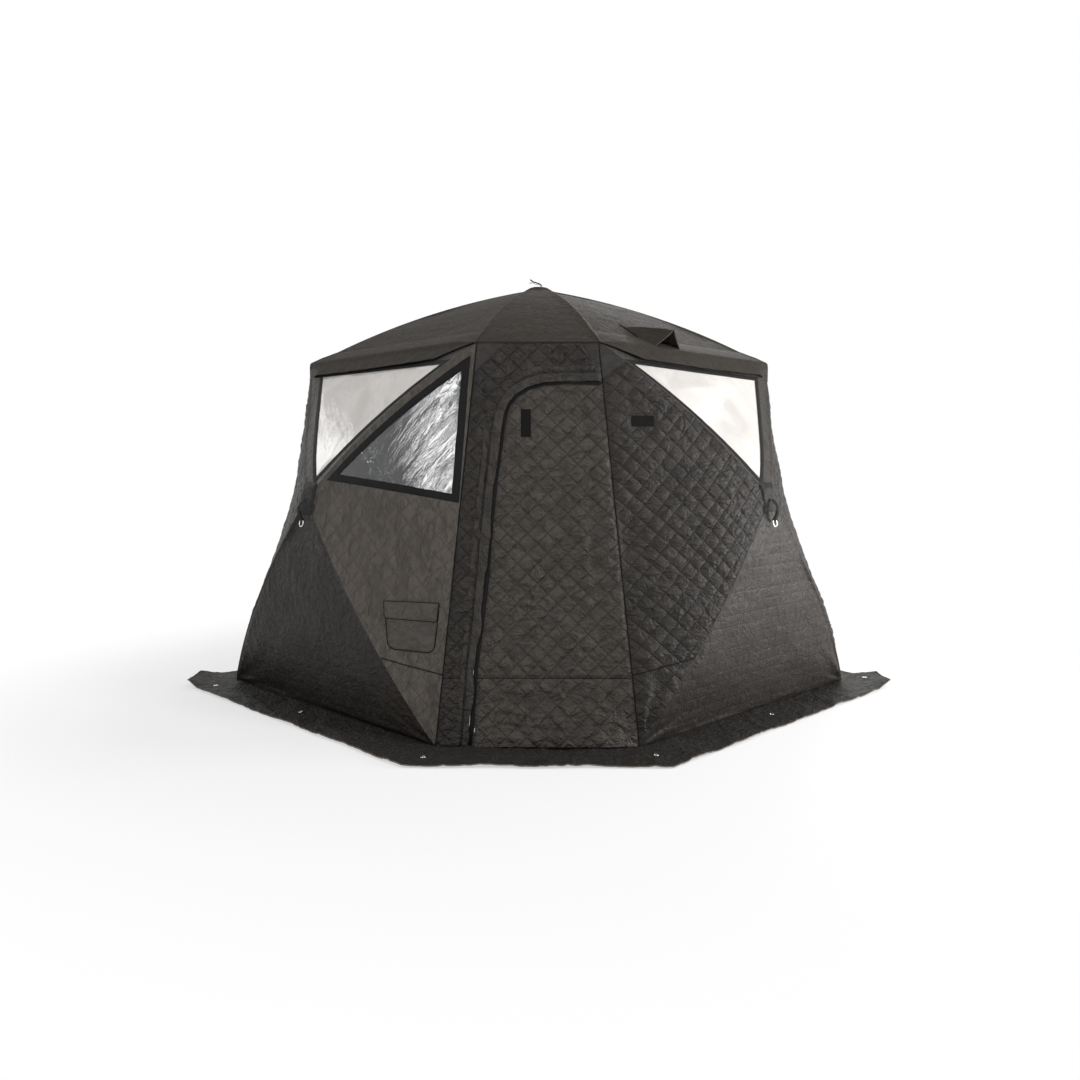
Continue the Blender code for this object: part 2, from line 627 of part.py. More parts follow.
def valance_rows():
    """Cross lines of the roof's overhang, from the door wall round the tent and back to it."""
    rows = []
    for name in ("wall_fr", "wall_br", "wall_bl", "wall_fl"):
        _, _, _, _, normal, hub = wall_frame(name)
        p0, p1 = wall_panels(name)["top"]
        at = surface(p0, p1, hub, normal)
        face = unit(np.cross(p1 - p0, hub - p0))
        face = face if np.dot(face, normal) > 0 else -face
        depth = height_over(hub, p0, p1)
        for t in np.linspace(0.05, 0.95, 8):
            drop = 0.030 + 0.050 * math.sin(math.pi * t) ** 0.5
            shares = [d / depth for d in (0.012, 0.012 + drop / 2, 0.012 + drop)]
            rows.append([at((1 - t) * (1 - ah), t * (1 - ah), ah) + 0.0035 * face for ah in shares] + [face])
        if name != "wall_fl":
            turn = corner(WALLS[name][1], True)
            out = unit((turn[0], turn[1] + MID_Y, 0.0))
            across = np.array([-out[1], out[0], 0.0])
            for side in (-0.7, 0.0, 0.7):
                way = unit(out + side * across)
                spots = ((0.042, 0.008), (0.049, 0.026), (0.057, 0.044))
                rows.append([turn + reach * way - drop * np.array([0, 0, 1]) for reach, drop in spots] + [way])
    return rows


def valance():
    """Roof fabric that hangs over the wall tops, in one band."""
    rows = valance_rows()
    low = [p for row in rows for p in row[:3]]
    top = [p + 0.002 * row[3] for row in rows for p in row[:3]]
    size, faces = len(top), []
    for i in range(len(rows) - 1):
        for k in range(2):
            a, b = 3 * i + k, 3 * i + k + 1
            faces += [(a, b, b + 3, a + 3), (size + a + 3, size + b + 3, size + b, size + a)]
        for k in (0, 2):
            a = 3 * i + k
            faces.append((a, a + 3, size + a + 3, size + a))
    for start in (0, 3 * (len(rows) - 1)):
        faces += [(start + k, start + k + 1, size + start + k + 1, size + start + k) for k in range(2)]
    add_object("eave_valance", [(top + low, faces)], "roof_fabric", smooth=True)


def seam_tapes():
    """Bound seams round the eaves, round the hem and down each corner, with the caps that the poles end at."""
    tapes, n = [], len(CORNER_NAMES)
    for i, name in enumerate(CORNER_NAMES):
        after = CORNER_NAMES[(i + 1) % n]
        runs = [(corner(name, top), corner(after, top)) for top in (True, False)]
        runs.append((corner(name, False), corner(name, True)))
        for start, end in runs:
            pull = drawn_in(start, end)
            cut = 0.020 / np.linalg.norm(end - start)
            steps = np.linspace(cut, 1 - cut, 13 if pull.any() else 2)
            path = [(1 - t) * start + t * end + 4 * t * (1 - t) * pull for t in steps]
            tapes.append(tube(path, TAPE_RADIUS, 6))
    caps = [ball(corner(name, True), CORNER_CAP, 10, 7) for name in CORNER_NAMES]
    for name in CORNER_NAMES:
        low = SKIRT_THICK + GAP
        verts, faces = ball(corner(name, False), CORNER_CAP, 10, 7)
        caps.append(([np.array([v[0], v[1], max(v[2], low)]) for v in verts], faces))
    frame = add_object("seam_tapes", tapes, "black_webbing")
    fuse(frame, "seam_tapes", caps, (0.0, 0.0, 0.0))


def skirt_loop(widths, tip):
    """Hem polygon on the ground, moved outward by a width at each edge, with its side corners cut off at x = tip."""
    points, n = [], len(CORNER_NAMES)
    for i, name in enumerate(CORNER_NAMES):
        before, here, after = (corner(CORNER_NAMES[k % n], False)[:2] for k in (i - 1, i, i + 1))
        edges = [unit(here - before), unit(after - here)]
        normals = np.array([(e[1], -e[0]) for e in edges])
        spot = here + np.linalg.solve(normals, np.array([widths[i - 1], widths[i]]))
        if name in ("right", "left"):
            cut = math.copysign(tip, here[0])
            points += [spot + (cut - spot[0]) / e[0] * e for e in edges]
        else:
            points.append(spot)
    return points


def skirt():
    """Ground skirt: one flat ring on the floor, mitred at the corners."""
    loops = [skirt_loop((-0.012,) * 5, HEM_HALF - 0.03), skirt_loop(SKIRT_WIDTHS, SKIRT_TIP)]
    n = len(loops[0])
    verts = [np.array([q[0], q[1], z]) for z in (0.0, SKIRT_THICK) for loop in loops for q in loop]
    faces = []
    for i in range(n):
        j = (i + 1) % n
        inner, outer = (i, j), (n + i, n + j)
        faces.append((inner[0], inner[1], outer[1], outer[0]))
        faces.append(tuple(2 * n + k for k in (outer[0], outer[1], inner[1], inner[0])))
        faces.append((outer[0], outer[1], 2 * n + outer[1], 2 * n + outer[0]))
        faces.append((inner[1], inner[0], 2 * n + inner[0], 2 * n + inner[1]))
    add_object("ground_skirt", [(verts, faces)], "plain_fabric")


def main():
    clear_scene()
    skirt()
    seam_tapes()
    door_wall()
    door()
    valance()
    for name in WALLS:
        wall(name)
    roof()
    flue_port()
    vent_screen()
    vent_hood()


main()
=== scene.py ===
"""Looks of a pop-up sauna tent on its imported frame. Blender 4.5, metres, +Z up."""
import math

import bpy
import numpy as np
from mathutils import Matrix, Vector
from mathutils.geometry import delaunay_2d_cdt


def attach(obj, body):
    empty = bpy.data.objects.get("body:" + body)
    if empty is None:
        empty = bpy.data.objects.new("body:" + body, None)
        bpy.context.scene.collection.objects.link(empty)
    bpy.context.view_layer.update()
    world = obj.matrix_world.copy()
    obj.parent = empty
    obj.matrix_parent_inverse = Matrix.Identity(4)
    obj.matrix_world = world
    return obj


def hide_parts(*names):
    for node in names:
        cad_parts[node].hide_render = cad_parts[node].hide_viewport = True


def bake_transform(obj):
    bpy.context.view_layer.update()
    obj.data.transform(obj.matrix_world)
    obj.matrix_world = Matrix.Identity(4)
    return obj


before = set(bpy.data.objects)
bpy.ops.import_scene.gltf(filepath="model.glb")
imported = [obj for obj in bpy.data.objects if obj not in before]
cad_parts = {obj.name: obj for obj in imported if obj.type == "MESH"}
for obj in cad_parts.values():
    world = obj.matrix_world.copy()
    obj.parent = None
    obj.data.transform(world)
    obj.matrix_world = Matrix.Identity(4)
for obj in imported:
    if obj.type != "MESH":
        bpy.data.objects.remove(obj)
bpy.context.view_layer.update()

# Driving dimensions, the same as the part's source, metres
EAVE_Z = 1.75
HEM_Z = 0.0085
PEAK_Z = 2.16
EAVE_HALF = 1.24
HEM_HALF = 1.70
DOOR_WALL_TOP = 0.27  # half widths of the door wall
DOOR_WALL_HEM = 0.435
HUB_LEVEL = 1.00
HUB_POP = 0.29
POLE_BOW = 0.055
TAUT_BOW = 0.012
DRAW_IN = 0.115
POLE_RADIUS = 0.005
POLE_INSET = 0.0125
POLE_END = 0.038
HUB_ARM = 0.076
HUB_CAP = 0.049
SKIRT_WIDTHS = (0.26, 0.26, 0.20, 0.20, 0.26)
SKIRT_TIP = 1.925
CORNER_NAMES = ("front_left", "front_right", "right", "back", "left")
MID_Y = (HEM_HALF + SKIRT_WIDTHS[2] * math.sqrt(2) - (HEM_HALF - DOOR_WALL_HEM) - SKIRT_WIDTHS[0]) / 2
WALLS = {
    "wall_fr": ("front_right", "right"),
    "wall_br": ("right", "back"),
    "wall_bl": ("back", "left"),
    "wall_fl": ("left", "front_left"),
}

# Window panes as shares of the panel's own corners: seam start, seam end
WINDOWS = {
    ("wall_fl", "top"): ((0.805, 0.085), (0.035, 0.825), (0.050, 0.075)),
    ("wall_fr", "top"): ((0.830, 0.030), (0.085, 0.775), (0.075, 0.040)),
    ("wall_br", "top"): ((0.800, 0.070), (0.070, 0.800), (0.075, 0.075)),
    ("wall_fl", "front"): ((0.895, 0.045), (0.585, 0.370), (0.197, 0.040)),
    ("wall_br", "front"): ((0.895, 0.045), (0.585, 0.370), (0.197, 0.040)),
    ("wall_bl", "front"): ((0.895, 0.045), (0.585, 0.370), (0.197, 0.040)),
}

# Door wall lines, in its own plane: x across, v up the slope from the hem
ZIP_LINE = (
    (-0.300, 0.006), (-0.290, 0.100), (-0.281, 0.206), (-0.273, 0.340), (-0.247, 0.547), (-0.228, 0.720),
    (-0.212, 0.950), (-0.190, 1.170), (-0.172, 1.300), (-0.163, 1.381), (-0.153, 1.443), (-0.136, 1.490),
    (-0.103, 1.530), (-0.049, 1.565), (0.020, 1.585), (0.120, 1.591),
)
ZIP_TOP = 1.592
FLAP_LINE = (
    (-0.352, 0.006), (-0.347, 0.100), (-0.341, 0.206), (-0.331, 0.360), (-0.317, 0.510), (-0.303, 0.680),
    (-0.292, 0.860), (-0.262, 1.120), (-0.247, 1.250), (-0.243, 1.350), (-0.236, 1.430), (-0.204, 1.519),
    (-0.160, 1.578), (-0.090, 1.630), (0.000, 1.660), (0.110, 1.666),
)
FLAP_TOP = 1.667

# Flue port and its cover on the front left wall, as shares of the side panel's seam ends
STOVE_PORT = ((0.120, 0.532), (0.298, 0.650), (0.189, 0.756), (0.045, 0.651))
STOVE_FLAP = ((0.129, 0.515), (0.312, 0.635), (0.264, 0.680), (0.096, 0.563))

# Roof vent on the front right roof panel, in the same shares: the hood's tip, then its mouth's two ends
VENT = ((0.5775, 0.2105), (0.700, 0.283), (0.534, 0.446))

# Areas of side panels that lie smooth under a patch, in the same shares
PORT_AREA = ((0.100, 0.500), (0.330, 0.625), (0.190, 0.790), (0.010, 0.665))
CORNER_PATCH = ((1.0, 0.0), (0.861, 0.0), (0.907, 0.106))
HOOK_PATCH = ((0.731, 0.139), (0.652, 0.091), (0.628, 0.121), (0.707, 0.169))

# Looks, metres
QUILT = 0.0615  # side of a quilted diamond
CELL = QUILT / 8  # mesh size of quilted cloth
DOOR_CELL = QUILT / 11
PLAIN_CELL = 0.0125
BOX = 0.052  # side of the lower cloth's stitched squares
SEAM_HEIGHT = 0.29  # the sewn line round the lower part, up the door wall's slope
PUFF = 0.0062  # how far the quilting stands out
FAINT_PUFF = 0.0036
SLEEVE_HALF = 0.014  # width and height of the cloth's rise over a pole
SLEEVE_RISE = 0.0035
PATCH_MARGIN = 0.014  # width over which the relief fades out beside a patch
BORDER_WIDTH = {"top": 0.022, "front": 0.030}
PIPING_RADIUS = 0.0027
EAVE_FOLD_RADIUS = 0.0055
SEWN_RADIUS = 0.0017
ZIP_TAPE = (0.019, 0.0014)
PULL_WEBBING = (0.024, 0.0017)
ROOF_WEBBING = (0.015, 0.0018)
RING_RADIUS, RING_WIRE = 0.0165, 0.0025
EYELET_RADIUS, EYELET_ROLL = 0.0092, 0.0034
SKIRT_THICK = 0.0018
FLAP_THICK = 0.0014
OVERHANG_THICK = 0.0016
HOOD_THICK = 0.0018
HOOD_WIDTH, HOOD_LENGTH = 0.27, 0.25  # of the hood's cloth, laid flat
FINE_EDGE = (0.004, 0.009, 0.014)  # rows of points along a panel's edges
UP = np.array([0.0, 0.0, 1.0])


def unit(v):
    return np.asarray(v, float) / np.linalg.norm(v)


def smooth(t):
    t = np.clip(t, 0.0, 1.0)
    return t * t * (3 - 2 * t)


# Points of the frame, as in the part's source

def corner(name, top):
    half, door = (EAVE_HALF, DOOR_WALL_TOP) if top else (HEM_HALF, DOOR_WALL_HEM)
    plan = {
        "front_left": (-door, door - half),
        "front_right": (door, door - half),
        "right": (half, 0.0),
        "back": (0.0, half),
        "left": (-half, 0.0),
    }[name]
    return np.array([plan[0], plan[1] - MID_Y, EAVE_Z if top else HEM_Z])


def peak():
    return np.array([0.0, -MID_Y, PEAK_Z])


def wall_frame(wall):
    """The wall's four corners, its outward normal, and its hub point."""
    first, second = WALLS[wall]
    a, b = corner(first, True), corner(second, True)
    c, d = corner(first, False), corner(second, False)
    normal = unit(np.cross(b - a, a + b - c - d))
    share = (HUB_LEVEL - HEM_Z) / (EAVE_Z - HEM_Z)
    middle = (1 - share) * (c + d) / 2 + share * (a + b) / 2
    return a, b, c, d, normal, middle + HUB_POP * normal


def wall_seams(wall):
    """Seam start, seam end of the four panels that meet at the wall's hub."""
    a, b, c, d, _, _ = wall_frame(wall)
    near, far = ((a, c), (b, d)) if wall in ("wall_fr", "wall_br") else ((b, d), (a, c))
    return {"top": (a, b), "bottom": (c, d), "front": near, "rear": far}


def side_normal(end, hub, normal):
    along = unit(hub - end)
    return unit(normal - np.dot(normal, along) * along)


def pole_bow(end, hub, share):
    """The bow of the pole between an end and a hub, at a share of the way to the hub."""
    taut = end[2] > hub[2] and end[1] + MID_Y > -DOOR_WALL_TOP
    return TAUT_BOW + (POLE_BOW - TAUT_BOW) * share ** 3 if taut else POLE_BOW


def drawn_in(start, end):
    """How the cloth draws the middle of a seam towards the tent's middle, if it is a tall corner seam."""
    if abs(end[2] - start[2]) < 1.0 or start[1] + MID_Y < -DOOR_WALL_TOP:
        return np.zeros(3)
    return -DRAW_IN * unit((start[0], start[1] + MID_Y, 0.0))


def seam_tilt(wall):
    """A tilt from the drawn-in rear corner seam's pull, which the wall's panels keep in their reach; nothing
    reads that reach."""
    normal, hub = wall_frame(wall)[4:]
    start, end = wall_seams(wall)["rear"]
    level, along = hub - HUB_POP * normal - start, unit(end - start)
    reach = level - (level @ along) * along
    pull = drawn_in(start, end)
    return (pull @ unit(reach)) / -(pull @ normal) / np.linalg.norm(reach)


def door_plane():
    """Origin at the middle of the hem, directions across, up the slope and outward, and the height."""
    low = (corner("front_left", False) + corner("front_right", False)) / 2
    high = (corner("front_left", True) + corner("front_right", True)) / 2
    across, up = np.array([1.0, 0.0, 0.0]), unit(high - low)
    return low, across, up, np.cross(across, up), np.linalg.norm(high - low)


def seam_x(v, inset=0.0):
    """Half width of the door wall at height v."""
    return DOOR_WALL_HEM + (DOOR_WALL_TOP - DOOR_WALL_HEM) * v / DOOR_HEIGHT - inset


DOOR_LOW, DOOR_ACROSS, DOOR_UP, DOOR_OUT, DOOR_HEIGHT = door_plane()


# Noise and relief of cloth, in flat coordinates

def noise(x, y, seed):
    """Smooth noise from -1 to 1, with cells of size one."""
    table = np.random.default_rng(seed).uniform(-1, 1, (64, 64))
    xi, yi = np.floor(x).astype(int), np.floor(y).astype(int)
    fx, fy = smooth(x - xi), smooth(y - yi)
    near = table[xi % 64, yi % 64] * (1 - fx) + table[(xi + 1) % 64, yi % 64] * fx
    far = table[xi % 64, (yi + 1) % 64] * (1 - fx) + table[(xi + 1) % 64, (yi + 1) % 64] * fx
    return near * (1 - fy) + far * fy


def waves(q, x, y, seed):
    """Noise over flat points, with cells of x by y metres."""
    return noise(q[:, 0] / x, q[:, 1] / y, seed)


def crumples(q, size, seed):
    """Creases that run every way, from 0 to 1."""
    x, y = q[:, 0] / size, q[:, 1] / size
    bend_x, bend_y = 0.9 * noise(0.6 * x, 0.6 * y, seed), 0.9 * noise(0.6 * x, 0.6 * y, seed + 1)
    total = 0.0
    for k, turn in enumerate((0.4, 1.5, 2.6)):
        c, s = math.cos(turn), math.sin(turn)
        u, v = c * x - s * y + bend_x, s * x + c * y + bend_y
        total = total + (1 - np.abs(noise(u, 0.4 * v, seed + 2 + k))) ** 4
    return total / 3


def wrinkles(q, size, seed):
    """Short sharp wrinkles, drawn out along x or y by their two sizes, from 0 to 1."""
    bend = 0.5 * waves(q, 0.09, 0.09, seed)
    wave = noise(q[:, 0] / size[0] + bend, q[:, 1] / size[1] + bend, seed + 1)
    return (1 - np.abs(wave)) ** 3 * (0.5 + 0.5 * waves(q, 0.12, 0.12, seed + 2))


def quilting(q):
    """Puffed diamonds between stitched lines, from 0 on a line to 1."""
    c = math.sqrt(0.5)
    u, v = c * q[:, 0] + c * q[:, 1], c * q[:, 1] - c * q[:, 0]
    return (np.abs(np.sin(math.pi * u / QUILT)) * np.abs(np.sin(math.pi * v / QUILT))) ** 0.6


def line_distance(q, line):
    """Distance of flat points from an open line of points."""
    best = np.full(len(q), 1e9)
    for p, r in zip(line[:-1], line[1:]):
        p, way = np.asarray(p, float), np.asarray(r, float) - p
        t = np.clip((q - p) @ way / max(way @ way, 1e-12), 0, 1)
        best = np.minimum(best, np.linalg.norm(q - p - t[:, None] * way, axis=1))
    return best


def loop_distance(q, loop):
    return line_distance(q, np.vstack([loop, loop[:1]]))


def inside(q, loop):
    """Which flat points lie inside a closed loop."""
    x, y = q[:, 0], q[:, 1]
    hit = np.zeros(len(q), bool)
    for (x0, y0), (x1, y1) in zip(loop, np.roll(loop, -1, axis=0)):
        if y0 != y1:
            hit ^= ((y0 > y) != (y1 > y)) & (x < x0 + (y - y0) * (x1 - x0) / (y1 - y0))
    return hit


def calmed(q, loops):
    """0 inside the loops, where cloth lies smooth under a patch, and 1 away from them."""
    cover = np.ones(len(q))
    for loop in loops:
        loop = np.asarray(loop)
        cover = cover * np.where(inside(q, loop), 0.0, smooth(loop_distance(q, loop) / PATCH_MARGIN))
    return cover


def puckers(q, line, seed, reach=0.035, pitch=0.017):
    """Short gathers that run square off a sewn line."""
    line = np.asarray(line, float)
    way = unit(line[-1] - line[0])
    run = (q - line[0]) @ way
    off = line_distance(q, line)
    wave = noise(run / pitch, off / 0.09, seed) + 0.6 * noise(run / pitch * 2.1, off / 0.05, seed + 1)
    return wave * np.exp(-off / reach) * smooth(off / 0.006)


def gathers(q, spot, seed, reach=0.30, folds=16):
    """Folds that fan out from a corner."""
    way = q - spot
    r, angle = np.linalg.norm(way, axis=1), np.arctan2(way[:, 1], way[:, 0])
    wave = noise(angle * folds / math.pi, r * 2.0, seed) + 0.5 * noise(angle * folds / 1.4, r * 5, seed + 1)
    return wave * np.exp(-r / reach) * smooth(r / 0.07)


# Meshes

def run_length(line):
    """How far along a line each of its points is."""
    return np.concatenate([[0], np.cumsum(np.linalg.norm(np.diff(line, axis=0), axis=1))])


def resample(loop, cell, closed=True):
    """A loop or line with points at even steps of about one cell."""
    loop = np.asarray(loop, float)
    ends = np.roll(loop, -1, axis=0) if closed else loop[1:]
    out = []
    for p, r in zip(loop, ends):
        n = max(1, round(np.linalg.norm(r - p) / cell))
        out += [p + (r - p) * k / n for k in range(n)]
    return np.array(out if closed else out + [loop[-1]])


def inset(loop, distance):
    """A closed flat loop moved inward on every side by a distance, or outward if it is negative."""
    loop = np.asarray(loop, float)
    area = np.sum(loop[:, 0] * np.roll(loop[:, 1], -1) - loop[:, 1] * np.roll(loop[:, 0], -1))
    turn = math.copysign(1.0, area)
    out = []
    for i in range(len(loop)):
        before, here, after = loop[i - 1], loop[i], loop[(i + 1) % len(loop)]
        n1, n2 = (turn * np.array([-e[1], e[0]]) for e in (unit(here - before), unit(after - here)))
        out.append(here + distance * (n1 + n2) / max(1 + n1 @ n2, 0.25))
    return np.array(out)


def fill(outline, holes=(), cell=CELL, rows=(), turn=math.pi / 4):
    """Even triangles that fill an outline round its holes: flat points and faces.
    rows are insets of the outline that also get points, for fine edges."""
    outline, holes = np.asarray(outline, float), [np.asarray(h, float) for h in holes]
    loops = [resample(loop, cell) for loop in (outline, *holes)]
    c, s = math.cos(turn), math.sin(turn)
    spin = np.array([[c, -s], [s, c]])
    spun = outline @ spin
    low, high = np.floor(spun.min(0) / cell), np.ceil(spun.max(0) / cell) + 1
    grid = np.stack(np.meshgrid(np.arange(low[0], high[0]), np.arange(low[1], high[1])), -1)
    grid = grid.reshape(-1, 2) * cell @ spin.T
    margin = (rows[-1] if rows else 0) + 0.5 * cell
    keep = inside(grid, outline) & (loop_distance(grid, outline) > margin)
    for hole in holes:
        keep &= ~inside(grid, hole) & (loop_distance(grid, hole) > 0.5 * cell)
    extra = [resample(inset(outline, row), cell) for row in rows]
    for i, points in enumerate(extra):
        good = inside(points, outline) & (loop_distance(points, outline) > 0.9 * rows[i])
        for hole in holes:
            good &= ~inside(points, hole) & (loop_distance(points, hole) > 0.3 * cell)
        extra[i] = points[good]
    points = np.vstack([*loops, *extra, grid[keep]])
    edges, at = [], 0
    for loop in loops:
        n = len(loop)
        edges += [(at + i, at + (i + 1) % n) for i in range(n)]
        at += n
    verts, _, faces, _, _, _ = delaunay_2d_cdt([Vector(p) for p in points], edges, [], 0, 1e-7)
    verts, faces = np.array([tuple(v) for v in verts]), np.array([tuple(f) for f in faces])
    middle = verts[faces].mean(1)
    good = inside(middle, outline)
    for hole in holes:
        good &= ~inside(middle, hole)
    faces = faces[good]
    used, faces = np.unique(faces, return_inverse=True)
    return verts[used], faces.reshape(-1, 3)


def make_mesh(name, points, faces, flat, look, flip=False):
    """A mesh object with flat coordinates in metres as its UV map."""
    faces = faces[:, ::-1] if flip else faces
    mesh = bpy.data.meshes.new(name)
    mesh.from_pydata(np.asarray(points).tolist(), [], np.asarray(faces).tolist())
    corners = np.zeros(len(mesh.loops), int)
    mesh.loops.foreach_get("vertex_index", corners)
    uv = mesh.uv_layers.new(name="cloth")
    uv.data.foreach_set("uv", np.asarray(flat, np.float32)[corners].ravel())
    mesh.polygons.foreach_set("use_smooth", np.ones(len(mesh.polygons), bool))
    mesh.materials.append(look)
    obj = bpy.data.objects.new(name, mesh)
    bpy.context.scene.collection.objects.link(obj)
    return obj


def grid_faces(rows, cols, wrap_rows=False, wrap_cols=False):
    """Triangles over points that are given row by row, either way round joined to its start if it wraps."""
    i, k = np.meshgrid(np.arange(rows - (not wrap_rows)), np.arange(cols - (not wrap_cols)), indexing="ij")
    i, k, i_next, k_next = (s.ravel() for s in (i, k, (i + 1) % rows, (k + 1) % cols))
    a, b, c, d = i * cols + k, i * cols + k_next, i_next * cols + k_next, i_next * cols + k
    return np.stack([a, b, c, a, c, d], -1).reshape(-1, 3)


def thick_faces(faces, count):
    """Faces of a sheet and of its back, count points on, joined round every open edge."""
    sides = np.concatenate([faces[:, [0, 1]], faces[:, [1, 2]], faces[:, [2, 0]]])
    key = {(a, b) for a, b in sides.tolist()}
    rim = [(a, b) for a, b in key if (b, a) not in key]
    quads = [[b, a, a + count] for a, b in rim] + [[b, a + count, b + count] for a, b in rim]
    return np.vstack([faces, faces[:, ::-1] + count, np.array(sorted(quads))])


def declare(flat, faces):
    """Works out the flat size and area of a sheet's cut, and returns nothing."""
    a, b, c = (flat[faces[:, i]] for i in range(3))
    area = float(np.abs(np.cross(b - a, c - a)).sum() / 2)
    width, length = (float(s) for s in np.ptp(flat, axis=0))
    if area < 0.32 * width * length:  # a frame of strips round a window
        length = float(width + length + math.hypot(width, length))
        width = area / length


def two_sided(name, points, back, faces, flat, look, flip=False):
    """A thin closed solid between a sheet's points and those of its back."""
    faces = thick_faces(faces, len(points))
    return make_mesh(name, np.vstack([points, back]), faces, np.vstack([flat, flat]), look, flip)


def carry(path, start=None):
    """Directions along, side and other at each point of a path, without twist."""
    path = np.asarray(path, float)
    steps = np.gradient(path, axis=0)
    side, frames = start, []
    for way in steps:
        way = unit(way)
        if side is None:
            side = np.cross(way, (0.3, 0.2, 1.0) if abs(way[2]) < 0.9 else (1.0, 0.2, 0.0))
        side = unit(side - (side @ way) * way)
        frames.append((way, side, np.cross(way, side)))
    return path, frames


def swept(paths, shape, closed=False, start=None):
    """Points, faces and flat coordinates of a shape swept along each of some paths, with end caps."""
    points, faces, flat, at = [], [], [], 0
    n = len(shape)
    round_it = run_length([*shape, shape[0]])[:n]
    for path in paths:
        path, frames = carry(path, start)
        m, run = len(path), run_length(path)
        for p, r, (_, side, other) in zip(path, run, frames):
            points += [p + x * side + y * other for x, y in shape]
            flat += [(s, r) for s in round_it]
        faces.append(at + grid_faces(m, n, closed, True))
        if not closed:
            last = (m - 1) * n
            faces += [at + np.array([(0, k + 1, k), (last, last + k, last + k + 1)]) for k in range(1, n - 1)]
        at += m * n
    return np.array(points), np.vstack(faces), np.array(flat)


def turns(steps):
    return np.linspace(0, 2 * math.pi, steps, endpoint=False)


def circle(radius, sides):
    return [(radius * math.cos(a), radius * math.sin(a)) for a in turns(sides)]


def band(width, thick):
    """Cross-section of flat webbing with rounded edges."""
    half, edge = width / 2, thick / 2
    right = [(half - 0.3 * edge, 0.7 * edge), (half - edge, edge)]
    left = [(-x, y) for x, y in reversed(right)]
    upper = [*right, (0.0, edge), *left]
    return [(half, 0.0), *upper, (-half, 0.0), *[(x, -y) for x, y in reversed(upper)]]


def joined(name, parts, look):
    """One object from several sets of points, faces and flat coordinates."""
    points, faces, flat, at = [], [], [], 0
    for p, f, q in parts:
        points.append(p)
        faces.append(np.asarray(f) + at)
        flat.append(q)
        at += len(p)
    return make_mesh(name, np.vstack(points), np.vstack(faces), np.vstack(flat), look)


# Panels

class Panel:
    """A triangular cloth panel between a straight seam and a hub. Its flat coordinates are x along the seam
    from its start and y square to it towards the hub."""

    def __init__(self, start, end, hub, normal, pop, body, tilt=0.0):
        self.start, self.end, self.hub, self.body = start, end, hub, body
        self.normal, self.pull = normal, drawn_in(start, end)
        self.along = unit(end - start)
        face = unit(np.cross(end - start, hub - start))
        self.flip = face @ normal < 0
        self.face = -face if self.flip else face
        self.bows = side_normal(start, hub, normal), side_normal(end, hub, normal)
        self.length = np.linalg.norm(end - start)
        self.foot = (hub - start) @ self.along
        self.height = np.linalg.norm(hub - start - self.foot * self.along)
        self.corners = np.array([(0.0, 0.0), (self.length, 0.0), (self.foot, self.height)])
        area = self.length * self.height
        self.spans = area / np.linalg.norm(hub - end), area / np.linalg.norm(hub - start)
        level = hub - pop * normal - start  # the hub's place in the plane of the seams
        reach = level - (level @ self.along) * self.along
        lean = tilt * (reach @ reach)
        self.reach = (reach + lean * normal) * (1 + tilt * pop) / (1 + tilt * lean)
        self.calm = []  # flat loops under patches, where the cloth lies smooth
        self.relief = lambda q: np.zeros(len(q))

    def shares(self, q):
        ah = q[:, 1] / self.height
        a1 = (q[:, 0] - ah * self.foot) / self.length
        return 1 - a1 - ah, a1, ah

    def spot(self, a0, a1):
        """Flat point of two shares of the seam's ends."""
        ah = 1 - a0 - a1
        return np.array([a1 * self.length + ah * self.foot, ah * self.height])

    def spots(self, shares):
        return np.array([self.spot(*share) for share in shares])

    def place(self, q, lift=0.0):
        """Where flat points lie on the bowed panel, over the sleeves of its poles, lifted outward."""
        a0, a1, ah = (s[:, None] for s in self.shares(q))
        p = a0 * self.start + a1 * self.end + ah * self.hub
        bows = [pole_bow(end, self.hub, ah) * bow for end, bow in zip((self.start, self.end), self.bows)]
        p = p + 4 * ah * (a0 * bows[0] + a1 * bows[1]) + 4 * a0 * a1 * self.pull
        for share, span, bow in ((a1, self.spans[1], self.bows[0]), (a0, self.spans[0], self.bows[1])):
            t = np.clip(share * span / SLEEVE_HALF, 0, 1)
            ends = smooth(ah / 0.06) * smooth((1 - ah) / 0.08)
            p = p + SLEEVE_RISE * ends * (1 - t * t) ** 2 * ((1 - t) * bow + t * self.face)
        return p + np.reshape(lift, (-1, 1)) * self.face

    def mask(self, q):
        """0 at the panel's edges and under patches, 1 elsewhere."""
        cover = smooth((loop_distance(q, self.corners) - 0.003) / 0.022)
        return cover * calmed(q, self.calm)

    def skin(self, q, lift=0.0):
        """As place, on top of the cloth's relief."""
        return self.place(q, self.relief(q) + lift)

    def blend(self, obj, sunk=0.0):
        """Bakes the object's place into its mesh. sunk is not used."""
        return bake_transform(obj)


def wall_panel(wall, side):
    normal, hub = wall_frame(wall)[4:]
    return Panel(*wall_seams(wall)[side], hub, normal, HUB_POP, f"{wall}_hub", seam_tilt(wall))


ROOF_SIDES = {
    "front": ("front_left", "front_right"), "front_right": ("front_right", "right"),
    "back_right": ("right", "back"), "back_left": ("back", "left"), "front_left": ("left", "front_left"),
}


def roof_panel(label):
    first, second = (corner(name, True) for name in ROOF_SIDES[label])
    return Panel(first, second, peak(), UP, PEAK_Z - EAVE_Z, "roof_hub")


# Materials


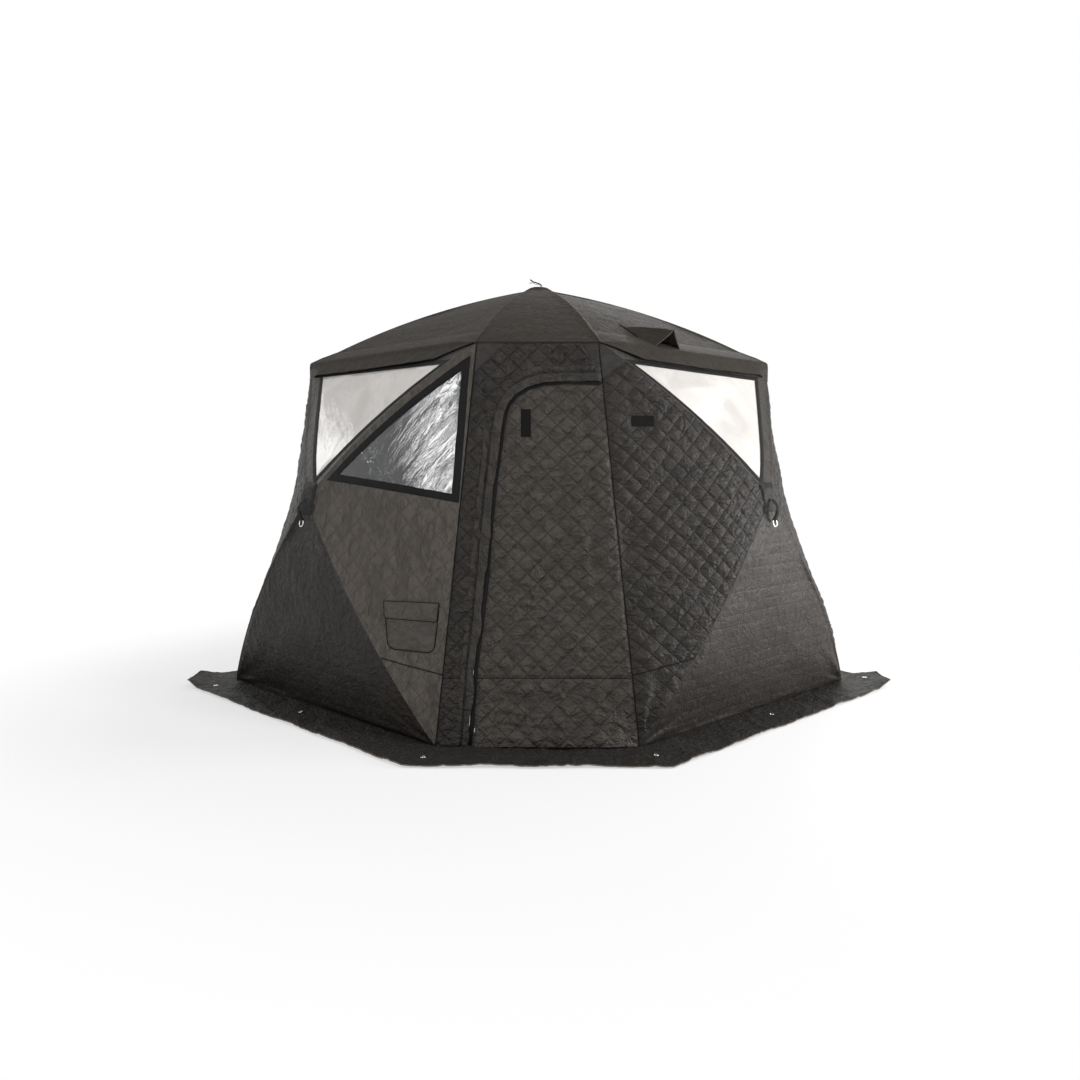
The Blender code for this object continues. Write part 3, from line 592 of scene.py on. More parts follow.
class Nodes:
    """A node tree under construction."""

    def __init__(self, tree):
        self.tree = tree

    def add(self, kind, *values, out=0, **settings):
        """A node with its first inputs set or linked, and one of its outputs."""
        node = self.tree.nodes.new("ShaderNode" + kind)
        for key, value in settings.items():
            if key.startswith("in_"):
                self.feed(node.inputs[key[3:].replace("_", " ").title()], value)
            else:
                setattr(node, key, value)
        for socket, value in zip(node.inputs, values):
            if value is not None:
                self.feed(socket, value)
        return node.outputs[out]

    def feed(self, socket, value):
        if isinstance(value, bpy.types.NodeSocket):
            self.tree.links.new(value, socket)
        else:
            socket.default_value = value

    def math(self, operation, *values):
        return self.add("Math", *values, operation=operation)


class Look(Nodes):
    """A material under construction."""

    def __init__(self, name, slot=None):
        self.mat = bpy.data.materials.new(name)
        self.mat.use_nodes = True
        super().__init__(self.mat.node_tree)
        self.shader = self.tree.nodes["Principled BSDF"]
        self.out = self.tree.nodes["Material Output"]

    def times(self, a, b):
        return self.math("MULTIPLY", a, b)

    def mix(self, factor, a, b):
        return self.add("Mix", factor, None, None, None, None, None, a, b, data_type="RGBA", out=2)

    def where(self, on_cloth):
        """Flat coordinates of a sheet in metres, or the place on a rigid piece."""
        if on_cloth:
            return self.add("UVMap", uv_map="cloth")
        return self.add("TexCoord", out=3)

    def noise(self, vector, scale, detail=4.0, rough=0.55, twist=0.0):
        return self.add("TexNoise", in_vector=vector, in_scale=scale, in_detail=detail, in_roughness=rough,
                        in_distortion=twist)

    def ramp(self, value, low, high, start=0.0, end=1.0):
        return self.add("MapRange", value, low, high, start, end, interpolation_type="SMOOTHSTEP")

    def bump(self, height, distance, strength=1.0, normal=None):
        made = self.add("Bump", strength, distance)
        node = made.node
        self.feed(node.inputs["Height"], height)
        if normal is not None:
            self.feed(node.inputs["Normal"], normal)
        return made

    def set(self, **values):
        for key, value in values.items():
            self.feed(self.shader.inputs[key.replace("_", " ")], value)
        return self


def toned(colour, factor):
    return (*[min(1.0, c * factor) for c in colour], 1.0)


def shade(look, colour, tone, dark, light):
    """A colour that goes from a darker to a lighter tone with a map."""
    return look.mix(tone, toned(colour, dark), toned(colour, light))


def cloth_look(name, colour, quilted=0.0, boxed=False, rough=0.46, weave=0.0017, shine=0.14, crinkle=0.004,
               stretch=(1.0, 1.0), relief=0.20, slot=None):
    """Coated polyester cloth: weave, creased wrinkles, patchy colour and, where quilted or boxed, stitches,
    with painted shade in the creases and along the stitched valleys, and painted highlight on the creases'
    ridges.
    stretch scales the wrinkles' pattern along the cloth's two directions: below 1 draws them out there.
    relief is how much the tone follows the creases: their painted shade and highlight."""
    look = Look(name, slot or ("quilted_fabric" if quilted else "plain_fabric"))
    at = look.where(True)
    split = look.add("SeparateXYZ", at)
    x, y = split, split.node.outputs[1]
    drawn = look.add("Mapping", at, None, None, (*stretch, 1.0))
    large = look.noise(at, 2.2, 3.0)
    small = look.noise(drawn, 38.0, 6.0, 0.62, 0.5)
    creases = [look.math("PINGPONG", look.times(look.noise(drawn, scale, 3.0, 0.5, twist), 2.6), 0.5)
               for scale, twist in ((17.0, 1.2), (43.0, 0.9))]
    folds = look.math("MULTIPLY_ADD", creases[1], 0.45, creases[0])
    warp = look.math("SINE", look.times(x, 2 * math.pi / weave))
    weft = look.math("SINE", look.times(y, 2 * math.pi / weave))
    threads = look.times(warp, weft)
    tone = look.math("MULTIPLY_ADD", large, 0.30, look.times(small, 0.30))
    # The tone follows the folds: painted shade in the crease valleys and painted highlight on their ridges.
    tone = look.math("MULTIPLY_ADD", folds, 0.55, tone)
    base = shade(look, colour, look.ramp(tone, 0.28, 0.74), 1 - relief, 1 + relief)
    normal = look.bump(threads, 0.00012, 0.5)
    normal = look.bump(small, 0.25 * crinkle, 1.0, normal)
    normal = look.bump(folds, crinkle, 1.0, normal)
    if quilted or boxed:
        if quilted:
            c = math.cos(math.pi / 4) / QUILT
            u = look.math("ADD", look.times(x, c), look.times(y, c))
            v = look.math("SUBTRACT", look.times(y, c), look.times(x, c))
            pitch, sink, valley_shade, bright = QUILT, 0.0016 * quilted, 1 - 0.54 * quilted, 1 + 0.4 * quilted
        else:
            u, v = look.math("DIVIDE", x, BOX), look.math("DIVIDE", y, BOX)
            pitch, sink, valley_shade, bright = BOX, 0.0005, 0.76, 1.1
        u, v = look.math("PINGPONG", u, 0.5), look.math("PINGPONG", v, 0.5)
        near = look.math("MINIMUM", u, v)
        line = look.ramp(near, 0.0, 0.0050 / pitch, 1.0, 0.0)
        stitch = look.math("SINE", look.times(look.math("MAXIMUM", u, v), 2 * math.pi * pitch / 0.0042))
        stitch = look.times(look.ramp(near, 0.0, 0.0014 / pitch, 1.0, 0.0), look.ramp(stitch, -0.3, 0.4))
        # Painted shade along the stitched lines, where their valleys lie.
        base = look.mix(line, base, toned(colour, valley_shade))
        base = look.mix(stitch, base, toned(colour, bright))
        normal = look.bump(line, sink, 1.0, normal)
        normal.node.invert = True
    look.set(Base_Color=base, Roughness=look.ramp(small, 0.2, 0.8, rough - 0.08, rough + 0.12), Normal=normal)
    return look.set(Specular_IOR_Level=shine).mat


def webbing_look(name, colour, rough=0.7):
    """Woven tape: a herringbone of ribs, with worn lighter specks."""
    look = Look(name, "black_webbing")
    at = look.where(True)
    split = look.add("SeparateXYZ", at)
    x, y = split, split.node.outputs[1]
    rib = look.math("SINE", look.times(look.math("ADD", x, look.math("PINGPONG", y, 0.003)), 4200.0))
    specks = look.noise(at, 700.0, 3.0)
    patch = look.noise(at, 14.0, 3.0)
    base = shade(look, colour, look.ramp(look.math("ADD", specks, look.times(patch, 0.5)), 0.45, 1.0),
                 0.75, 1.7)
    normal = look.bump(rib, 0.0003, 0.7)
    normal = look.bump(specks, 0.0003, 0.5, normal)
    look.set(Base_Color=base, Normal=normal, Roughness=look.ramp(specks, 0.2, 0.8, rough - 0.1, rough + 0.1))
    return look.set(Specular_IOR_Level=0.15).mat


def hook_look(name, colour):
    """Hook-and-loop tape: a dense pile of little hooks."""
    look = Look(name, "black_webbing")
    at = look.where(True)
    pile = look.add("TexVoronoi", in_vector=at, in_scale=620.0)
    lines = look.noise(at, 130.0, 3.0)
    base = shade(look, colour, look.ramp(pile, 0.0, 0.8), 1.5, 0.5)
    normal = look.bump(pile, 0.0010, 1.0)
    normal = look.bump(lines, 0.0006, 0.6, normal)
    look.set(Base_Color=base, Normal=normal, Roughness=look.ramp(lines, 0.3, 0.7, 0.8, 0.95))
    return look.set(Specular_IOR_Level=0.15).mat


def rigid_look(name, slot, colour, rough, metal=0.0, grain=420.0, depth=0.0002, wear=1.35):
    """Moulded plastic, rod or plated metal: fine grain and dulled patches."""
    look = Look(name, slot)
    at = look.where(False)
    fine = look.noise(at, grain, 5.0)
    broad = look.noise(at, 18.0, 4.0)
    base = shade(look, colour, look.ramp(broad, 0.3, 0.75), 0.85, wear)
    look.set(Base_Color=base, Roughness=look.ramp(broad, 0.25, 0.8, rough - 0.07, rough + 0.12))
    look.set(Normal=look.bump(fine, depth, 0.6))
    return look.set(Metallic=metal).mat


def film_look(name, colour, veil, rough, crinkle, glow, mirror, painted_glints=0.0):
    """Clear window film: see-through with a haze, smudges and small crinkles, under a clear reflection.
    glow is how much of the haze lets light through, mirror the reflection's refractive index, and whitened
    how white the creases are painted: painted highlights of crinkles catching light, with some stress
    whitening."""
    look = Look(name, "clear_film")
    at = look.where(True)
    smudge = look.noise(at, 4.0, 4.0, 0.6, 0.8)
    fine = look.noise(at, 60.0, 6.0, 0.65, 1.0)
    lean = look.add("Mapping", at, None, (0.0, 0.0, 0.64), (4.5, 1.0, 1.0), vector_type="TEXTURE")
    sharp = look.math("PINGPONG", look.times(look.noise(lean, 25.0, 4.0, 0.55, 1.6), 3.0), 0.5)
    haze = look.ramp(smudge, 0.3, 0.7, *veil)
    if painted_glints:
        # Painted highlights: creases in patches go opaque and white where crinkles catch light, with some
        # stress whitening.
        glint_mask = look.times(look.ramp(sharp, 0.40, 0.50), look.ramp(fine, 0.42, 0.62))
        glint_patches = look.noise(at, 5.5, 3.0, 0.5, 1.0)
        glint_mask = look.times(look.times(glint_mask, look.ramp(glint_patches, 0.42, 0.62)), painted_glints)
        haze = look.math("MAXIMUM", haze, glint_mask)
        colour = look.mix(glint_mask, (*colour, 1.0), (0.86, 0.87, 0.88, 1.0))
    else:
        tone = look.ramp(look.math("MULTIPLY_ADD", fine, 0.3, smudge), 0.4, 0.9)
        colour = shade(look, colour, tone, 0.94, 1.04)
    normal = look.bump(sharp, crinkle, 1.0, look.bump(fine, 0.1 * crinkle, 1.0))
    look.set(Base_Color=colour, Roughness=look.ramp(fine, 0.3, 0.7, rough, rough + 0.08), Normal=normal)
    look.set(Specular_IOR_Level=0.2, Transmission_Weight=glow, IOR=1.2)
    clear = look.add("BsdfTransparent", (1.0, 1.0, 1.0, 1.0))
    body = look.add("MixShader", haze, clear, look.shader.outputs[0])
    shine = look.add("BsdfAnisotropic", (1.0, 1.0, 1.0, 1.0), 0.03, in_normal=normal)
    mixed = look.add("MixShader", look.add("Fresnel", mirror, normal), body, shine)
    look.feed(look.out.inputs[0], mixed)
    return look.mat


# relief in the looks below sets their painted shade in creases and painted highlight on ridges.
WARM = (0.040, 0.0358, 0.0322)
QUILTED = cloth_look("quilted_cloth", (0.0275, 0.0242, 0.0214), quilted=1.0, stretch=(1.0, 0.55),
                     crinkle=0.009, relief=0.28)
# Lighter copy of the quilted cloth, with fainter quilting: painted sheen on the front left side panel.
LIT_FAINT = cloth_look("lit_faintly_quilted_cloth", (0.082, 0.0720, 0.0630), quilted=0.45, stretch=(0.35, 1.0),
                   crinkle=0.014, relief=0.21)
DOOR = cloth_look("door_quilted_cloth", (0.0590, 0.0516, 0.0452), quilted=1.0, stretch=(0.75, 1.0),
                  crinkle=0.014, relief=0.26)
# Darker copy of the door's cloth: painted shade of the roof overhang on the front wall.
SHADED_FRONT = cloth_look("shaded_front_quilted_cloth", (0.0300, 0.0265, 0.0236), quilted=1.0, stretch=(0.75, 1.0),
                    crinkle=0.014, relief=0.30)
HUB_PATCH = cloth_look("hub_patch_cloth", (0.0165, 0.0150, 0.0140), rough=0.6, weave=0.0026, shine=0.15,
                       crinkle=0.001)
PLAIN = cloth_look("plain_cloth", WARM, crinkle=0.003)
BOXED = cloth_look("lower_cloth", (0.0282, 0.0240, 0.0206), boxed=True, crinkle=0.0030, relief=0.10)
# Darker copy of the lower cloth: painted shade on the front left wall's bottom panel.
SHADED_LOW_LEFT = cloth_look("shaded_left_lower_cloth", (0.0190, 0.0158, 0.0132), boxed=True, crinkle=0.0045, relief=0.22)
ROOF = cloth_look("roof_cloth", (0.0315, 0.0270, 0.0227), rough=0.60, shine=0.06, crinkle=0.0025, relief=0.10,
                  slot="roof_fabric")
SKIRT = cloth_look("skirt_cloth", (0.0190, 0.0172, 0.0158), boxed=True, rough=0.55, crinkle=0.009)
PATCH = cloth_look("reinforcing_cloth", (0.033, 0.030, 0.0275), rough=0.6, weave=0.0026, shine=0.15,
                   crinkle=0.001)
FLAP = cloth_look("flap_cloth", WARM, crinkle=0.011, relief=0.28)
PORT = cloth_look("port_cloth", (0.066, 0.058, 0.0515), crinkle=0.006)
EDGE = cloth_look("pale_edge_binding", (0.15, 0.125, 0.105), rough=0.75, crinkle=0.001, slot="black_webbing")
BLACK = webbing_look("woven_webbing", (0.0055, 0.0055, 0.006))
PIPING = webbing_look("seam_thread", (0.0055, 0.0050, 0.0047), 0.9)
HOOKS = hook_look("hook_tape", (0.0065, 0.0062, 0.006))
MESH = hook_look("screen_mesh", (0.004, 0.004, 0.004))
PLASTIC = rigid_look("moulded_plastic", "black_plastic", (0.012, 0.012, 0.013), 0.42)
ROD = rigid_look("grey_rod", "fibreglass_rod", (0.030, 0.031, 0.035), 0.33, grain=900.0, depth=0.0001)
STEEL = rigid_look("bright_steel", "plated_steel", (0.72, 0.71, 0.69), 0.20, metal=1.0, grain=260.0,
                   depth=0.00004, wear=1.1)
VEIL = film_look("hazy_film", (0.98, 0.925, 0.875), (0.70, 0.82), 0.45, 0.0004, 0.25, 1.45)
# The side film's creases are painted white: painted highlights, with some stress whitening.
CLEAR = film_look("side_film", (0.10, 0.108, 0.12), (0.14, 0.28), 0.30, 0.0012, 0.0, 1.72, painted_glints=0.8)


# Pieces

def keep(obj, body=None, panel=None, nodes=(), sunk=0.0):
    """Attaches the piece to the body that it moves with, or else bakes it in place on its panel, and hides
    the nodes that it stands for.
    """
    if panel is not None:
        panel.blend(obj, sunk)
    else:
        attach(obj, body)
    if nodes:
        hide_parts(*nodes)


def cloth_piece(name, on, flat, faces, lift, look, body=None, nodes=(), thick=0.0):
    """A sheet, lifted off a panel or off the surface that a place function gives. thick makes it a closed
    solid. It moves with a body if one is given, and is otherwise baked in place on the panel."""
    panel = on if isinstance(on, Panel) else None
    place = panel.place if panel else on
    flip = panel is not None and panel.flip
    if thick:
        piece = two_sided(name, place(flat, lift), place(flat, lift - thick), faces, flat, look, flip)
    else:
        piece = make_mesh(name, place(flat, lift), faces, flat, look, flip)
    declare(flat, faces)
    keep(piece, body, None if body else panel, nodes)


def patch_piece(name, on, loop, look, cell=0.010, lift=0.0006, rise=0.0012, hem=0.005, turn=math.pi / 4,
                body=None, nodes=()):
    """A small flat patch whose edge is turned down."""
    flat, faces = fill(loop, (), cell, turn=turn)
    height = lift + rise * smooth(loop_distance(flat, np.asarray(loop)) / hem)
    cloth_piece(name, on, flat, faces, height, look, body, nodes)


def swept_piece(name, paths, shape, look, body=None, panel=None, nodes=(), sunk=0.0, closed=False,
                start=None):
    points, faces, flat = swept(paths, shape, closed, start)
    keep(make_mesh(name, points, faces, flat, look, flip=True), body, panel, nodes, sunk)


# Cloth of the walls and the roof

def edge_puckers(panel, q, seed, sizes, reach=0.035):
    """Puckers along the seam and both poles of a panel."""
    edges = (panel.corners[[i, (i + 1) % 3]] for i in range(3))
    return sum(size * puckers(q, edge, seed + i, reach) for i, (size, edge) in enumerate(zip(sizes, edges)))


def panel_relief(panel, seed, puff, crumple, slack, low_corners=(), low_seam=None, boxed=0.0):
    """The relief of one panel: quilting, crumples, slack folds, puckered seams and gathered corners."""

    def relief(q):
        height = slack * waves(q, 0.42, 0.30, seed)
        height += 0.4 * slack * waves(q, 0.17, 0.13, seed + 1)
        patchy = 0.75 + 0.45 * waves(q, 0.30, 0.30, seed + 2)
        above = np.ones(len(q))
        if low_seam is not None:
            way = unit(low_seam[1] - low_seam[0])
            off = np.array([-way[1], way[0]])
            top_side = math.copysign(1, (panel.corners[0] - low_seam[0]) @ off)
            above = smooth(0.5 + (q - low_seam[0]) @ off / 0.02 * top_side)
            height += 0.0022 * puckers(q, low_seam, seed + 9)
        if puff:
            patchy = patchy * (1 + 0.30 * waves(q, 0.08, 0.08, seed + 3))
            height += puff * patchy * quilting(q) * (0.25 + 0.75 * above)
            height += 0.0032 * wrinkles(q, (0.080, 0.022), seed + 60)
        box = np.abs(np.sin(math.pi * q[:, 0] / BOX) * np.sin(math.pi * q[:, 1] / BOX)) ** 0.5
        height += boxed * patchy * box
        rough = crumple * (1.0 + 0.9 * (1 - above))
        height += rough * crumples(q, 0.11, seed + 20) + 0.5 * rough * crumples(q, 0.045, seed + 30)
        height += edge_puckers(panel, q, seed + 40, (0.0030, 0.0014, 0.0014))
        for spot in low_corners:
            height += 0.014 * gathers(q, spot, seed + 50)
        return height * panel.mask(q)

    return relief


PANELS = {}


def wall_cloth(wall, number):
    for k, side in enumerate(("top", "bottom", "front", "rear")):
        panel = PANELS[wall, side] = wall_panel(wall, side)
        seed = 100 * number + 1000 * k
        if side in ("front", "rear"):
            seam = panel.spots(((0.179, 0.849), (0.0, 0.663)))
            seam[0] = seam[0] + (seam[0] - seam[1]) * 0.02
            faint = (wall, side) == ("wall_fl", "front")
            puff = FAINT_PUFF if faint else PUFF
            panel.relief = panel_relief(panel, seed, puff, 0.0062, 0.010, [panel.corners[1]], seam)
            # The front left wall's side panel gets the lighter cloth, whose colour is painted sheen.
            look, cell = LIT_FAINT if faint else QUILTED, CELL
        elif side == "bottom":
            panel.relief = panel_relief(panel, seed, 0.0, 0.0042, 0.009, panel.corners[:2], boxed=0.0015)
            # The front left wall's bottom panel gets painted shade, as a darker copy of the lower cloth.
            look, cell = SHADED_LOW_LEFT if wall == "wall_fl" else BOXED, CELL * 1.2
        else:
            panel.relief = panel_relief(panel, seed, 0.0, 0.0015, 0.002)
            look, cell = PLAIN, CELL * 1.2
        if (wall, side) == ("wall_fr", "front"):
            panel.calm += [panel.spots(CORNER_PATCH), panel.spots(HOOK_PATCH)]
        if (wall, side) == ("wall_fl", "front"):
            panel.calm.append(panel.spots(PORT_AREA))
        holes = [panel.spots(WINDOWS[wall, side])] if (wall, side) in WINDOWS else []
        panel.calm += [inset(hole, -0.030) for hole in holes]
        flat, faces = fill(panel.corners, holes, cell, rows=FINE_EDGE)
        cloth_piece(f"{wall}_cloth_{side}", panel, flat, faces, panel.relief(flat), look,
                    nodes=[f"{wall}_panel_{side}"])
        for hole in holes:
            window(panel, wall, side, hole, seed)


def window(panel, wall, side, hole, seed):
    """The clear film and its sewn black border."""
    outer, inner = inset(hole, -BORDER_WIDTH[side]), inset(hole, 0.004)
    flat, faces = fill(outer, [inner], 0.012, rows=(0.003, 0.007))
    rim = np.minimum(loop_distance(flat, outer), loop_distance(flat, inner))
    lift = 0.0004 + 0.0016 * smooth(rim / 0.006) + 0.0005 * waves(flat, 0.02, 0.02, seed)
    cloth_piece(f"{wall}_border_{side}", panel, flat, faces, lift, BLACK)
    tucked = inset(hole, -0.008)
    flat, faces = fill(tucked, (), 0.010)
    if side == "top":
        wave = 0.004 * waves(flat, 0.30, 0.22, seed + 60) + 0.0010 * crumples(flat, 0.12, seed)
    else:
        lean = flat @ np.array([[0.80, -0.60], [0.60, 0.80]]) * (0.22, 1.0)
        wave = 0.004 * waves(flat, 0.25, 0.20, seed + 60)
        wave += 0.0030 * crumples(lean, 0.050, seed + 61) + 0.0008 * crumples(flat, 0.030, seed + 70)
    lift = smooth(loop_distance(flat, tucked) / 0.05) * wave - 0.0012
    cloth_piece(f"{wall}_film_{side}", panel, flat, faces, lift, VEIL if side == "top" else CLEAR,
                nodes=[f"{wall}_window_{side}"])


def roof_cloth():
    for k, label in enumerate(ROOF_SIDES):
        panel = roof_panel(label)
        seed = 7000 + 100 * k

        def relief(q, panel=panel, seed=seed):
            height = 0.006 * waves(q, 0.50, 0.28, seed)
            height += 0.0016 * waves(q, 0.14, 0.035, seed + 1)
            height += 0.0012 * crumples(q, 0.16, seed + 2)
            height += edge_puckers(panel, q, seed + 10, (0.0012,) * 3, 0.025)
            for spot in panel.corners[:2]:
                height += 0.003 * gathers(q, spot, seed + 20, 0.15)
            return height * panel.mask(q)

        panel.relief = relief
        if label == "front_right":
            panel.calm.append(inset(panel.spots(VENT), -0.02))
        PANELS["roof", label] = panel
        flat, faces = fill(panel.corners, (), PLAIN_CELL, rows=FINE_EDGE)
        cloth_piece(f"roof_cloth_{label}", panel, flat, faces, relief(flat), ROOF,
                    nodes=[f"roof_panel_{label}"])


# Poles

def pole_line(end, hub, normal, steps=24):
    """Centre line of a pole, from its corner to its socket in the hub."""
    bow, length = side_normal(end, hub, normal), np.linalg.norm(hub - end)
    s = np.linspace(POLE_END / length, 1 - (HUB_ARM - 0.012) / length, steps)[:, None]
    return (1 - s) * end + s * hub + (4 * pole_bow(end, hub, s) * s * (1 - s) - POLE_INSET) * bow


def poles():
    shape = circle(POLE_RADIUS, 12)
    for wall in WALLS:
        normal, hub = wall_frame(wall)[4:]
        for side, label in (("top", "upper"), ("bottom", "lower")):
            paths = [pole_line(end, hub, normal) for end in wall_seams(wall)[side]]
            swept_piece(f"{wall}_rods_{label}", paths, shape, ROD, panel=PANELS[wall, side],
                        nodes=[f"{wall}_poles_{label}"], sunk=POLE_INSET)
    for node, label, names in (
        ("roof_poles_front", "front", ("front_left", "front_right")),
        ("roof_pole_right", "front_right", ("right",)),
        ("roof_pole_back", "back_right", ("back",)),
        ("roof_pole_left", "front_left", ("left",)),
    ):
        paths = [pole_line(corner(name, True), peak(), UP) for name in names]
        swept_piece(node.replace("pole", "rod"), paths, shape, ROD, panel=PANELS["roof", label], nodes=[node])


# Seams, binding and the ground skirt

def seam_piping():
    """Thin piping down the corners, round the hem and round the eaves, with a thicker fold over the door."""
    n = len(CORNER_NAMES)
    paths, folds = [], []
    for i, name in enumerate(CORNER_NAMES):
        after = CORNER_NAMES[(i + 1) % n]
        low, high = corner(name, False), corner(name, True)
        for start, end in ((low, high), (low, corner(after, False)), (high, corner(after, True))):
            t = np.linspace(0, 1, 90)[:, None]
            line = (1 - t) * start + t * end + 4 * t * (1 - t) * drawn_in(start, end)
            run = t[:, 0] * np.linalg.norm(end - start)
            out = unit(np.array([line[45][0], line[45][1] + MID_Y, 0.0]))
            ends = smooth(4 * t[:, 0]) * smooth(4 - 4 * t[:, 0])
            wobble = 0.0014 * noise(run / 0.03, run * 0, 8000 + i) * ends
            (folds if start is high and i == 0 else paths).append(line + wobble[:, None] * out)
    swept_piece("seam_piping", paths, circle(PIPING_RADIUS, 8), PIPING, "tent_base", nodes=["seam_tapes"])
    swept_piece("front_eave_fold", folds, circle(EAVE_FOLD_RADIUS, 8), ROOF, "tent_base")


def skirt_loop(widths, tip):
    """The hem's polygon, moved outward by a width at each edge, with its side corners cut off at x = tip."""
    points, n = [], len(CORNER_NAMES)
    for i, name in enumerate(CORNER_NAMES):
        before, here, after = (corner(CORNER_NAMES[k % n], False)[:2] for k in (i - 1, i, i + 1))
        edges = [unit(here - before), unit(after - here)]
        normals = np.array([(e[1], -e[0]) for e in edges])
        spot = here + np.linalg.solve(normals, np.array([widths[i - 1], widths[i]]))
        if name in ("right", "left"):
            cut = math.copysign(tip, here[0])
            points += [spot + (cut - spot[0]) / e[0] * e for e in edges]
        else:
            points.append(spot)
    return np.array(points)


def skirt_height(q):
    """How the skirt's cloth lies: up at the hem, wrinkled, flat at the edge with lifted tips."""
    inner = skirt_loop((0.0,) * 5, HEM_HALF - 0.01)
    outer = skirt_loop(SKIRT_WIDTHS, SKIRT_TIP)
    off = loop_distance(q, inner)
    edge = loop_distance(q, outer)
    height = 0.004 + 0.005 * np.exp(-off / 0.02)
    slack = 0.5 + 0.5 * waves(q, 0.11, 0.11, 8101)
    height += 0.007 * smooth(off / 0.03) * smooth(0.3 + edge / 0.05) * slack
    height += 0.014 * smooth(off / 0.02) * crumples(q, 0.14, 8102) + 0.006 * crumples(q, 0.05, 8110)
    height += 0.004 * puckers(q, inner[[0, 1]], 8120) * (np.abs(q[:, 0]) < 0.5)
    for tip in (outer[[2, 3]], outer[[5, 6]], outer[[4, 4]]):
        height += 0.026 * np.exp(-(line_distance(q, tip) / 0.09) ** 2)
    return np.maximum(height, 0.0022)


def skirt():
    inner = skirt_loop((-0.006,) * 5, HEM_HALF - 0.02)
    outer = skirt_loop(SKIRT_WIDTHS, SKIRT_TIP)
    edge = resample(outer, 0.012)
    middle = np.array([0.0, -MID_Y])
    sway = 0.008 * waves(edge, 0.20, 0.20, 8130) - 0.004
    edge = edge + sway[:, None] * np.array([unit(p - middle) for p in edge])

    def place(q, lift):
        return np.column_stack([q, np.maximum(lift, 0.0004)])

    flat, faces = fill(edge, [inner], 0.012, turn=0.3)
    cloth_piece("skirt_cloth", place, flat, faces, skirt_height(flat), SKIRT, "tent_base", ["ground_skirt"],
                thick=SKIRT_THICK)
    path = np.column_stack([edge, skirt_height(edge) + 0.0004])
    fold = [(-0.0016, -0.0022), (0.0016, -0.0022), (0.0021, 0.0), (0.0016, 0.0022), (-0.0016, 0.0022)]
    swept_piece("skirt_binding", [path], fold, EDGE, "tent_base", closed=True)


def eyelet(centre, height, tilt=0.05):
    """Points, faces and flat coordinates of one rolled metal eyelet."""
    n, m = 28, 10
    a, b = (s.ravel() for s in np.meshgrid(turns(n), turns(m), indexing="ij"))
    r = EYELET_RADIUS + EYELET_ROLL * np.cos(b)
    z = height + 0.0018 * np.sin(b) + tilt * r * np.cos(a)
    points = np.column_stack([centre[0] + r * np.cos(a), centre[1] + r * np.sin(a), z])
    return points, grid_faces(n, m, True, True)[:, ::-1], points[:, :2]


def eyelets():
    """Peg eyelets in the skirt, at the corners and half way along the walls."""
    spots = [(-1.758, -0.169 - MID_Y), (-0.470, -1.405 - MID_Y), (1.125, -0.735 - MID_Y)]
    loop = skirt_loop((0.13,) * 5, HEM_HALF + 0.13)
    spots += [tuple(loop[1]), tuple((loop[2] + loop[3]) / 2), tuple(loop[4])]
    for wall in ("wall_br", "wall_bl", "wall_fl"):
        c, d, normal = wall_frame(wall)[2:5]
        spots.append(tuple(((c + d) / 2)[:2] + 0.12 * unit(normal[:2])))
    heights = skirt_height(np.array(spots)) + 0.001
    rings = [eyelet(spot, h) for spot, h in zip(spots, heights)]
    keep(joined("peg_eyelets", rings, STEEL), "tent_base")


# Door wall

def door_place(q, lift=0.0):
    q = np.asarray(q, float)
    return DOOR_LOW + q[:, :1] * DOOR_ACROSS + q[:, 1:] * DOOR_UP + np.reshape(lift, (-1, 1)) * DOOR_OUT


DOOR_CREASES = (
    (((-0.13, 1.245), (-0.03, 1.262), (0.03, 1.300), (0.07, 1.360)), 0.008, -0.0060),
    (((-0.15, 1.232), (-0.08, 1.228), (0.02, 1.262)), 0.010, 0.0040),
    (((-0.06, 1.080), (0.02, 1.090), (0.10, 1.150)), 0.009, -0.0045),
    (((0.00, 1.400), (0.06, 1.350), (0.10, 1.300)), 0.009, 0.0040),
    (((0.21, 1.45), (0.23, 1.10), (0.27, 0.60), (0.30, 0.20)), 0.022, -0.0060),
    (((0.17, 1.50), (0.19, 1.10), (0.22, 0.70)), 0.030, 0.0050),
    (((-0.20, 0.17), (0.00, 0.13), (0.20, 0.16), (0.36, 0.10)), 0.014, 0.0060),
    (((-0.18, 0.10), (0.05, 0.07), (0.28, 0.09)), 0.012, -0.0050),
    (((-0.10, 0.235), (0.10, 0.225), (0.30, 0.150)), 0.012, 0.0045),
    (((-0.05, 0.62), (0.06, 0.52), (0.20, 0.44)), 0.010, 0.0030),
    (((0.03, 0.86), (0.10, 0.74), (0.21, 0.66)), 0.012, -0.0040),
)
DOOR_SEAM = ((-0.40, SEAM_HEIGHT), (0.42, SEAM_HEIGHT))
HOOK_DOOR = ((-0.074, 1.340), (-0.030, 1.340), (-0.030, 1.465), (-0.074, 1.465))
PATCH_LEFT = ((-0.268, 1.772), (-0.132, 1.772), (-0.279, 1.630))
PATCH_RIGHT = ((0.268, 1.772), (0.190, 1.772), (0.279, 1.640))


